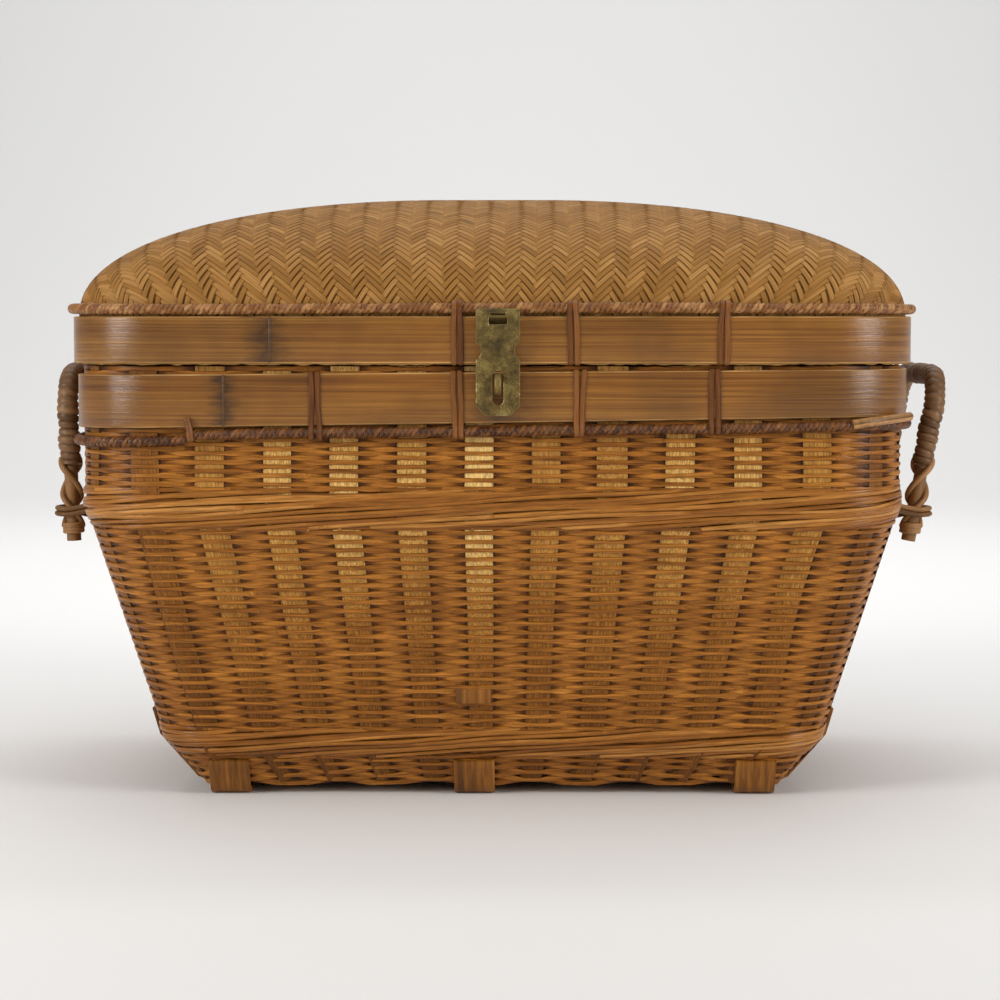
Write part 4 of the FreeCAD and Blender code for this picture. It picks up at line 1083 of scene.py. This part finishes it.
def bent_slat(name, path, width, thick, centre, axis):
    """A slat bent along a path of (distance out, z): the edge of a plane, extruded from point to point."""
    bpy.ops.object.select_all(action="DESELECT")
    bpy.ops.mesh.primitive_plane_add(size=1, location=(0, 0, 0))
    piece = named(name)
    bpy.ops.object.mode_set(mode="EDIT")
    bpy.ops.mesh.select_mode(type="VERT")
    bpy.ops.mesh.select_all(action="DESELECT")
    bpy.ops.object.mode_set(mode="OBJECT")
    for vertex in piece.data.vertices:
        vertex.select = vertex.co.y > 0
        across, (out, z) = centre + vertex.co.x * width, path[0]
        vertex.co = Vector((across, -out, z) if axis == "Y" else (out, across, z)) * MM
    bpy.ops.object.mode_set(mode="EDIT")
    bpy.ops.mesh.delete(type="VERT")
    bpy.ops.mesh.select_all(action="SELECT")
    for (out, z), (out_next, z_next) in zip(path, path[1:]):
        far = out_next - out
        step = Vector((0, -far, z_next - z) if axis == "Y" else (far, 0, z_next - z)) * MM
        bpy.ops.mesh.extrude_region_move(TRANSFORM_OT_translate={"value": step})
    bpy.ops.mesh.select_all(action="SELECT")
    bpy.ops.mesh.normals_make_consistent(inside=False)
    bpy.ops.object.mode_set(mode="OBJECT")
    with_modifier(piece, "SOLIDIFY", thickness=thick * MM, offset=0.0)
    return bevelled(piece, 0.5, 2, 50)


def runner_path(reach, z, thick, top, gap, tuck=0.0):
    """The middle line of a slat under the floor, from one upturned end to the other."""
    half = [(reach(FLOOR_LOW) + gap - 9, z), (reach(FLOOR_LOW) + gap - 3.5, z + 0.4),
            (reach(FLOOR_LOW) + gap + 0.4, z + 2.6)]
    heights = [h for h in (FLOOR_LOW + 2, 14.0, 20.0, 26.0, 32.0, 38.0, 44.0, 50.0) if h < top] + [top]
    half += [(reach(h) + gap + thick / 2 - tuck * max(0, h - 16) / 10, h) for h in heights]
    inner = [(x, z) for x in np.linspace(0, half[0][0] - 8, 6)[1:]]
    whole = inner + half
    return [(-x, h) for x, h in reversed(whole)] + [(0, z)] + whole


class HAMPER_OT_runners(Maker, bpy.types.Operator):
    """Bends the bamboo slats that the basket stands on"""

    bl_idname = "hamper.runners"
    bl_label = "Runners"

    def make(self):
        def front(z):
            return float(wall_section(z).half_y)

        def side(z):
            return float(wall_section(z).half_x)

        for node, shown in (("left_runner", "left_slat"), ("middle_runner", "middle_slat"),
                            ("right_runner", "right_slat")):
            low, high = low_high(node)
            path = runner_path(front, 2.0, 3.6, 25.0, 0.6, tuck=1.6)
            piece = bent_slat(shown, path, high.x - low.x, 3.6, (low.x + high.x) / 2, "Y")
            dressed(piece, "basket", "bamboo_slat", look("slat"), node)
        for node, shown in (("front_cross_runner", "front_cross_slat"),
                            ("back_cross_runner", "back_cross_slat")):
            low, high = low_high(node)
            path = runner_path(side, 5.7, 2.7, high.z - 0.5, 2.0)
            piece = bent_slat(shown, path, high.y - low.y, 2.7, (low.y + high.y) / 2, "X")
            dressed(piece, "basket", "bamboo_slat", look("slat"), node)
        middle = low_high("middle_runner")
        x = (middle[0].x + middle[1].x) / 2
        face = front(73.0)
        tip = block("tucked_slat_end", x - 11.5, x + 11.5, -face - 0.9, -face + 0.6, 66.0, 77.0)
        bevelled(tip, 0.5)
        dressed(tip, "basket", "bamboo_slat", look("slat"))


class HAMPER_OT_floor(Maker, bpy.types.Operator):
    """Plaits the basket's floor from broad splints"""

    bl_idname = "hamper.floor"
    bl_label = "Floor Mat"

    def make(self):
        strands = Strands()
        rng = np.random.default_rng(5)
        pitch, middle = 15.0, (FLOOR_LOW + FLOOR_HIGH) / 2
        for way, half, reach in ((0, FLOOR_HALF.y, FLOOR_HALF.x), (1, FLOOR_HALF.x, FLOOR_HALF.y)):
            count = int(2 * half / pitch)
            step = 2 * half / count
            for k in range(count):
                line = -half + (k + 0.5) * step
                t = np.linspace(-reach, reach, int(2 * reach / 5))
                cell = (t + reach) / (2 * reach) * int(2 * reach / pitch) - 0.5
                lift = 0.75 * np.tanh(2 * np.cos(math.pi * (cell + k))) * (1 if way else -1)
                points = np.stack([t, np.full_like(t, line), middle + lift], -1)
                points = points if way == 0 else points[:, [1, 0, 2]]
                up = np.tile([0.0, 0, 1], (len(t), 1))
                strands.add(points, up, step * 0.95, 1.0, rng.random(), shape=SLAT)
        piece = strands.object("plaited_floor", look("floor_mat"))
        dressed(piece, "basket", "pale_bamboo", None, "floor_mat")


def frame_joint(name):
    return next(j for j in frame["joints"] if j["name"] == name)


HANDLE_Y, HANDLE_BEND = 80.0, 26.0


def arch_points(pivot, tilt, side, bottom, top):
    """A handle's middle line, from one leg's end over the arch, tilted outwards about its pivot."""
    rows = [(-HANDLE_Y, z) for z in np.arange(bottom, top - HANDLE_BEND, 1.0)]
    for k in range(25):
        a = math.radians(90 * k / 24)
        rows.append((-HANDLE_Y + HANDLE_BEND * (1 - math.cos(a)), top - HANDLE_BEND * (1 - math.sin(a))))
    rows += [(y, top) for y in np.arange(-HANDLE_Y + HANDLE_BEND + 1, 0, 1.0)]
    rows += [(-y, z) for y, z in reversed(rows)]
    path = []
    for y, z in rows:
        rise = z
        path.append((side * (pivot[0] + rise * math.sin(tilt)), y, pivot[1] + rise * math.cos(tilt)))
    return np.array(path)


class HAMPER_OT_handles(Maker, bpy.types.Operator):
    """Bends the two rattan handles, winds their grips and ties their legs to the belt"""

    bl_idname = "hamper.handles"
    bl_label = "Handles"

    def make(self):
        for name, side, tilt in (("left", -1, 2.0), ("right", 1, 10.0)):
            joint = frame_joint(name + "_handle_swing")
            pivot = abs(joint["pos_m"][0]) / MM, joint["pos_m"][2] / MM
            tilt = math.radians(tilt)
            body = name + "_handle"
            rng = np.random.default_rng(3 + side)
            rod = Strands()
            path = arch_points(pivot, tilt, side, -22.0, 92.0)
            rod.rod(path, 4.9 + 0.2 * smooth_noise(len(path), 8, 12 + side), 0.5, sides=12)
            dressed(rod.object(name + "_bent_rod", look("rattan"), 50), body, "rattan", None,
                    body + "_rod")
            grip = Strands()
            path = arch_points(pivot, tilt, side, 26.0, 92.0)
            fine = bend(path[::3], 5)
            fine += np.stack([0.4 * smooth_noise(len(fine), 12, 40 + side + k) for k in range(3)], -1)
            ends = np.clip(np.minimum(np.arange(len(fine)), np.arange(len(fine))[::-1]) / 8, 0.75, 1)
            radius = (7.2 + 0.35 * smooth_noise(len(fine), 16, 15 + side)) * ends
            grip.rod(fine, radius, 0.5, sides=14, wrap=(5.2, 1.9, 1))
            dressed(grip.object(name + "_winding", look("grip"), 50), body, "dark_cane", None,
                    body + "_grip")
            tails = Strands()
            for leg in (-1, 1):
                for turn in (0.0, math.pi):
                    rise = np.linspace(34.0, -12.0, 40)
                    angle = turn + np.linspace(0, 2.1 * math.pi, 40) * leg
                    radius = 6.1 + 0.5 * np.sin(rise * 0.3)
                    x = pivot[0] + rise * math.sin(tilt) + radius * np.cos(angle)
                    z = pivot[1] + rise * math.cos(tilt)
                    y = leg * HANDLE_Y + radius * np.sin(angle)
                    line = np.stack([side * x, y, z], -1)
                    tails.rod(line, 2.3 - 0.5 * np.linspace(0, 1, 40), 0.4 + 0.6 * rng.random(), sides=10)
                ring = []
                for k in range(150):
                    angle = k / 149 * 2 * math.pi * 4
                    rise = -9.5 - 6.5 * k / 149
                    x = pivot[0] + rise * math.sin(tilt) + 6.2 * math.cos(angle)
                    y, z = leg * HANDLE_Y + 6.2 * math.sin(angle), pivot[1] + rise * math.cos(tilt)
                    ring.append((side * x, y, z))
                tails.rod(ring, 1.3, rng.random(), sides=8)
            dressed(tails.object(name + "_strands", look("rattan"), 50), body, "dark_cane", None,
                    body + "_collars")
            ties = Strands()
            face = low_high("upper_belt")[1].x - 2.0
            for leg in (-1, 1):
                y0, reach = leg * HANDLE_Y, pivot[0] + 3.1
                for lift, wide in ((0.4, 7.6), (-3.2, 7.9)):
                    base = pivot[1] + lift
                    loop = bend([(face - 2, y0 - wide - 2, base + 5), (face + 2, y0 - wide - 1.5, base + 3.5),
                                 (reach - 4, y0 - wide, base), (reach + 3, y0 - wide * 0.8, base - 0.3),
                                 (reach + wide - 0.3, y0, base), (reach + 3, y0 + wide * 0.8, base + 0.3),
                                 (reach - 4, y0 + wide, base), (face + 2, y0 + wide + 1.5, base - 3.5),
                                 (face - 2, y0 + wide + 2, base - 5)], 7)
                    loop[:, 0] *= side
                    ties.rod(loop, 1.75, rng.random(), sides=10)
            dressed(ties.object(name + "_ties", look("rattan"), 50), "basket", "dark_cane", None,
                    name + "_handle_ties")


def outlined(name, points, out, thick):
    """A plate facing the front from an (x, z) outline, in millimetres, its back at this distance out."""
    return extruded(name, [(x, -out, z) for x, z in points], (0, -thick, 0))


def arc(cx, cz, radius, start, stop):
    angles = [math.radians(start + (stop - start) * k / 10) for k in range(11)]
    return [(cx + radius * math.cos(a), cz + radius * math.sin(a)) for a in angles]


class HAMPER_OT_hasp(Maker, bpy.types.Operator):
    """Cuts the hasp plate, its leaf and pin, and bends the staple"""

    bl_idname = "hamper.hasp"
    bl_label = "Hasp"

    def make(self):
        low, high = low_high("hasp_plate")
        pin_low, pin_high = low_high("hasp_pin")
        pin_out, pin_z = -(pin_low.y + pin_high.y) / 2, (pin_low.z + pin_high.z) / 2
        x, half, bottom, front = (low.x + high.x) / 2, (high.x - low.x) / 2, low.z, -low.y
        notch_z, depth, radius, cut = pin_z - 25.0, 3.3, 5.8, 6.0
        swing = math.degrees(math.acos((radius - depth) / radius))
        right = arc(x + half + radius - depth, notch_z, radius, 180 + swing, 180 - swing)
        left = arc(x - half - radius + depth, notch_z, radius, swing, -swing)
        outline = ([(x - half + cut, bottom), (x + half - cut, bottom), (x + half, bottom + cut)] + right
                   + [(x + half, pin_z)] + [(x + 4.8, pin_z), (x + 4.8, pin_z - 2.5), (x - 4.8, pin_z - 2.5),
                                            (x - 4.8, pin_z)] + [(x - half, pin_z)] + left
                   + [(x - half, bottom + cut)])
        plate = outlined("hasp_cut_plate", outline, front - 1.2, 1.2)
        cut_away(plate, block("cut", x - 5.9, x + 5.9, -front - 5, -front + 5, pin_z - 8.2, pin_z - 3.8))
        staple_low, staple_high = low_high("hasp_staple")
        staple_z = (staple_low.z + staple_high.z) / 2
        eye = arc(x, staple_z - 2.5 + 7.5, 3.5, 0, 180) + arc(x, staple_z - 2.5 - 7.5, 3.5, 180, 360)
        cut_away(plate, outlined("cut", eye, front - 6, 12))
        barrels = [cylinder("barrel", (x + s * (4.8 + half) / 2, -pin_out, pin_z), 1.9, half - 4.8, (1, 0, 0))
                   for s in (-1, 1)]
        for barrel in barrels:
            barrel.data.materials.append(look("brass"))
        plate.data.materials.clear()
        for name in ("brass", "worn"):
            plate.data.materials.append(look(name))
        # the bevels take the pale edge brass: rubbed brass and painted highlight
        bevelled(plate, 0.5, 2, 40, material=1)
        plate = joined("hasp_cut_plate", barrels + [plate])
        bpy.ops.object.shade_smooth_by_angle(angle=math.radians(35))
        dressed(plate, "hasp", "aged_brass", None, "hasp_plate")

        face = float(LID.half_y) + 0.2
        shoulder, back = pin_z - 2.2, pin_out - 1.9
        side_view = [(face, pin_z - 28), (face + 1.2, pin_z - 28), (face + 1.2, shoulder - 8),
                     (back + 1.2, shoulder - 2), (back + 1.2, shoulder), (back, shoulder),
                     (back, shoulder - 1.5), (face, shoulder - 7.5)]
        leaf = turned_profile("hasp_cut_leaf", side_view, x, 22.0)
        knuckle = cylinder("barrel", (x, -pin_out, pin_z), 1.9, 9.0, (1, 0, 0))
        tongue = block("tongue", x - 4.5, x + 4.5, -back - 1.2, -back, shoulder - 0.5, pin_z)
        bevelled(leaf, 0.3, 2, 40)
        leaf = joined("hasp_cut_leaf", [knuckle, tongue, leaf])
        bpy.ops.object.shade_smooth_by_angle(angle=math.radians(35))
        dressed(leaf, "lid", "aged_brass", look("brass"), "hasp_leaf")
        pin = bevelled(cylinder("hasp_round_pin", (x, -pin_out, pin_z), 0.9, 2 * half + 0.6, (1, 0, 0)), 0.25)
        dressed(pin, "lid", "aged_brass", look("brass"), "hasp_pin")

        strands = Strands()
        foot, tip = -staple_high.y, -staple_low.y - 0.9
        h = 6.0
        rows = [(foot, staple_z + h), (tip - h, staple_z + h)]
        rows += [(tip - h + h * math.sin(a), staple_z + h * math.cos(a))
                 for a in np.linspace(0, math.pi, 15)[1:-1]]
        rows += [(tip - h, staple_z - h), (foot, staple_z - h)]
        wide = [(o, z) for (o, z), (o2, z2) in zip(rows, rows[1:]) for o, z in
                [(o + (o2 - o) * s / 4, z + (z2 - z) * s / 4) for s in range(4)]] + [rows[-1]]
        line = np.array([(x, -o, z) for o, z in wide])
        strands.rod(line, 1.0, 0.5, sides=12)
        # the staple is all in the pale edge brass: rubbed brass and painted highlight
        piece = strands.object("staple_loop", look("worn"), 40)
        piece.data.transform(Matrix.Translation((x * MM, 0, 0)) @ Matrix.Diagonal((2.25, 1, 1, 1))
                             @ Matrix.Translation((-x * MM, 0, 0)))
        dressed(piece, "basket", "aged_brass", None, "hasp_staple")


def turned_profile(name, points, x, width):
    """A strip seen from the side as (distance out, z) points, across X about a middle."""
    return extruded(name, [(x - width / 2, -o, z) for o, z in points], (width, 0, 0))


class HAMPER_OT_hinges(Maker, bpy.types.Operator):
    """Makes the two rear hinges, their pins and all the nails"""

    bl_idname = "hamper.hinges"
    bl_label = "Hinges and Nails"

    def make(self):
        pivot = [v / MM for v in frame_joint("lid_open")["pos_m"]]
        out, line = pivot[1], pivot[2]
        pins = []
        for name in ("left", "right"):
            low, high = low_high(name + "_hinge_body_leaf")
            x, half = (low.x + high.x) / 2, (high.x - low.x) / 2
            third = half / 3
            body_face, lid_face = float(BODY.half_y) + 0.2, float(LID.half_y) + 0.2
            outer_spans = (-half, -third - 0.3), (third + 0.3, half)
            for part, face, spans, body in (("body", body_face, outer_spans, "basket"),
                                            ("lid", lid_face, ((-third, third),), "lid")):
                way = -1 if part == "body" else 1
                near, far = sorted((line + way * 2.7, line + way * 20.0))
                leaf = block("leaf", x - half, x + half, face, face + 1.2, near, far)
                bevelled(leaf, 0.35, 2)
                pieces = []
                for a, b in spans:
                    low_z, high_z = sorted((line + way * 1.0, line + way * 3.2))
                    pieces.append(block("web", x + a, x + b, face, face + 1.2, low_z, high_z))
                    low_z, high_z = sorted((line + way * 1.0, line + way * 2.2))
                    pieces.append(block("web", x + a, x + b, face, out, low_z, high_z))
                    pieces.append(cylinder("knuckle", (x + (a + b) / 2, out, line), 2.5, b - a, (1, 0, 0)))
                leaf = joined("%s_hinge_%s_plate" % (name, part), pieces + [leaf])
                bpy.ops.object.shade_smooth_by_angle(angle=math.radians(35))
                dressed(leaf, body, "aged_brass", look("brass"), "%s_hinge_%s_leaf" % (name, part))
            pins.append(bevelled(cylinder("pin", (x, out, line), 1.2, 2 * half + 0.4, (1, 0, 0)), 0.2))
            for end in (-1, 1):
                head = cylinder("head", (x + end * (half + 0.7), out, line), 1.9, 1.0, (1, 0, 0))
                pins.append(bevelled(head, 0.3))
        dressed(joined("hinge_round_pins", pins), "basket", "aged_brass", look("brass"), "hinge_pins")
        for node, body in (("body_nails", "basket"), ("lid_nails", "lid")):
            heads = []
            for x, y, z, facing in nail_places(node):
                head = cylinder("nail", (x, y + facing * 0.4, z), 2.2, 0.9, (0, 1, 0))
                heads.append(bevelled(head, 0.4, 3))
            piece = joined(node.replace("nails", "nail_heads"), heads)
            dressed(piece, body, "aged_brass", look("brass"), node)


def nail_places(node):
    """(x, y, z, way it faces) of each nail's head, read from the frame's solids."""
    mesh = frame["nodes"][node].data
    corner = np.array([tuple(v.co) for v in mesh.vertices]) / MM
    found = []
    while len(corner):
        near = np.linalg.norm((corner - corner[0])[:, [0, 2]], axis=1) < 6
        near &= np.sign(corner[:, 1]) == np.sign(corner[0, 1])
        cluster = corner[near]
        facing = 1 if cluster[0, 1] > 0 else -1
        edge = cluster[:, 1].max() if facing > 0 else cluster[:, 1].min()
        middle = (cluster.max(0) + cluster.min(0)) / 2
        found.append((middle[0], edge - facing * 0.8, middle[2], facing))
        corner = corner[~near]
    return found


class HAMPER_OT_stage(Maker, bpy.types.Operator):
    """Sets up the floor, the soft lights and the camera"""

    bl_idname = "hamper.stage"
    bl_label = "Stage"

    def make(self):
        bpy.ops.object.select_all(action="DESELECT")
        bpy.ops.mesh.primitive_plane_add(size=1, location=(0, -3.0, 0))
        floor = named("backdrop")
        floor.scale = (60, 16, 1)
        settle(floor)
        bpy.ops.object.mode_set(mode="EDIT")
        bpy.ops.mesh.select_mode(type="EDGE")
        bpy.ops.mesh.select_all(action="DESELECT")
        bpy.ops.object.mode_set(mode="OBJECT")
        for edge in floor.data.edges:
            edge.select = all(floor.data.vertices[v].co.y > 4.9 for v in edge.vertices)
        bpy.ops.object.mode_set(mode="EDIT")
        bpy.ops.mesh.extrude_region_move(TRANSFORM_OT_translate={"value": (0, 0, 6)})
        bpy.ops.object.mode_set(mode="OBJECT")
        with_modifier(floor, "BEVEL", width=2.4, segments=16, limit_method="ANGLE",
                      angle_limit=math.radians(40))
        bpy.ops.object.shade_smooth()
        material, tree = fresh("Pale seamless paper")      # a matt paper roll, slightly warm
        colour = (*bpy.context.scene.hamper_colours.floor, 1)
        shader = add(tree, "BsdfPrincipled", (("Base Color", colour), ("Roughness", 0.8)))
        add(tree, "OutputMaterial", ((0, shader),))
        floor.data.materials.append(material)

        for name, place, aim, size, power, tint in (
                ("Key softbox, left", (-1.75, -1.35, 1.1), (0, 0, 0.2), 0.9, 26, (1.0, 0.97, 0.93)),
                ("Fill softbox, right", (1.9, -1.2, 1.0), (0.1, 0, 0.2), 0.9, 24, (1.0, 0.97, 0.94)),
                ("Low glint light, left", (-1.55, -1.2, 0.36), (-0.25, -0.15, 0.28), 0.3, 3.4,
                 (1.0, 0.98, 0.95)),
                ("Low glint light, right", (1.6, -1.15, 0.36), (0.25, -0.15, 0.28), 0.3, 3.4,
                 (1.0, 0.98, 0.95)),
                ("Top softbox", (0.0, -0.2, 2.4), (0, 0.1, 0.3), 2.2, 15, (1.0, 1.0, 1.0)),
                ("Backdrop light", (0.0, 1.6, 2.6), (0, 3.5, 0.6), 3.0, 75, (1.0, 1.0, 1.0))):
            bpy.ops.object.select_all(action="DESELECT")
            bpy.ops.object.light_add(type="AREA", location=place)
            light = bpy.context.active_object
            light.name = name
            light.data.size = size
            light.visible_camera = False
            light.data.energy = power
            light.data.color = tint
            light.rotation_euler = (Vector(aim) - Vector(place)).to_track_quat("-Z", "Y").to_euler()
        world = bpy.data.worlds.new("Soft room")
        bpy.context.scene.world = world
        world.use_nodes = True
        shade = world.node_tree.nodes["Background"]
        shade.inputs["Color"].default_value = (0.93, 0.96, 1.0, 1)
        shade.inputs["Strength"].default_value = 0.3

        bpy.ops.object.camera_add(location=(0.0186, -1.79, 0.3139))
        camera = bpy.context.active_object
        camera.name = "Camera"
        camera.rotation_euler = (math.radians(90 - 3.95), 0, math.radians(0.46))
        camera.data.sensor_width = 36.0
        camera.data.lens = 90.4
        camera.data.dof.use_dof = False
        bpy.context.scene.camera = camera
        bpy.context.scene.view_settings.view_transform = "Standard"


OPERATORS = (HAMPER_OT_wall, HAMPER_OT_stakes, HAMPER_OT_belts, HAMPER_OT_floor, HAMPER_OT_runners,
             HAMPER_OT_dome, HAMPER_OT_bands, HAMPER_OT_cords, HAMPER_OT_lashings, HAMPER_OT_handles,
             HAMPER_OT_hasp, HAMPER_OT_hinges, HAMPER_OT_stage)


class HAMPER_PT_panel(bpy.types.Panel):
    """Lists the hamper's sizes and the operators that build it"""

    bl_idname = "HAMPER_PT_panel"
    bl_label = "Woven Hamper"
    bl_space_type = "VIEW_3D"
    bl_region_type = "UI"
    bl_category = "Hamper"

    def draw(self, context):
        layout = self.layout
        for group in (context.scene.hamper_sizes, context.scene.hamper_colours):
            for key in group.__annotations__:
                layout.prop(group, key)
        for operator in OPERATORS:
            layout.operator(operator.bl_idname)


CLASSES = (HamperSizes, HamperColours) + OPERATORS + (HAMPER_PT_panel,)


def register():
    for cls in CLASSES:
        bpy.utils.register_class(cls)
    bpy.types.Scene.hamper_sizes = bpy.props.PointerProperty(type=HamperSizes)
    bpy.types.Scene.hamper_colours = bpy.props.PointerProperty(type=HamperColours)


def unregister():
    del bpy.types.Scene.hamper_colours
    del bpy.types.Scene.hamper_sizes
    for cls in reversed(CLASSES):
        bpy.utils.unregister_class(cls)


def main():
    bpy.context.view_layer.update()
    register()
    for operator in OPERATORS:
        getattr(bpy.ops.hamper, operator.bl_idname.removeprefix("hamper."))()


if __name__ == "__main__":
    main()
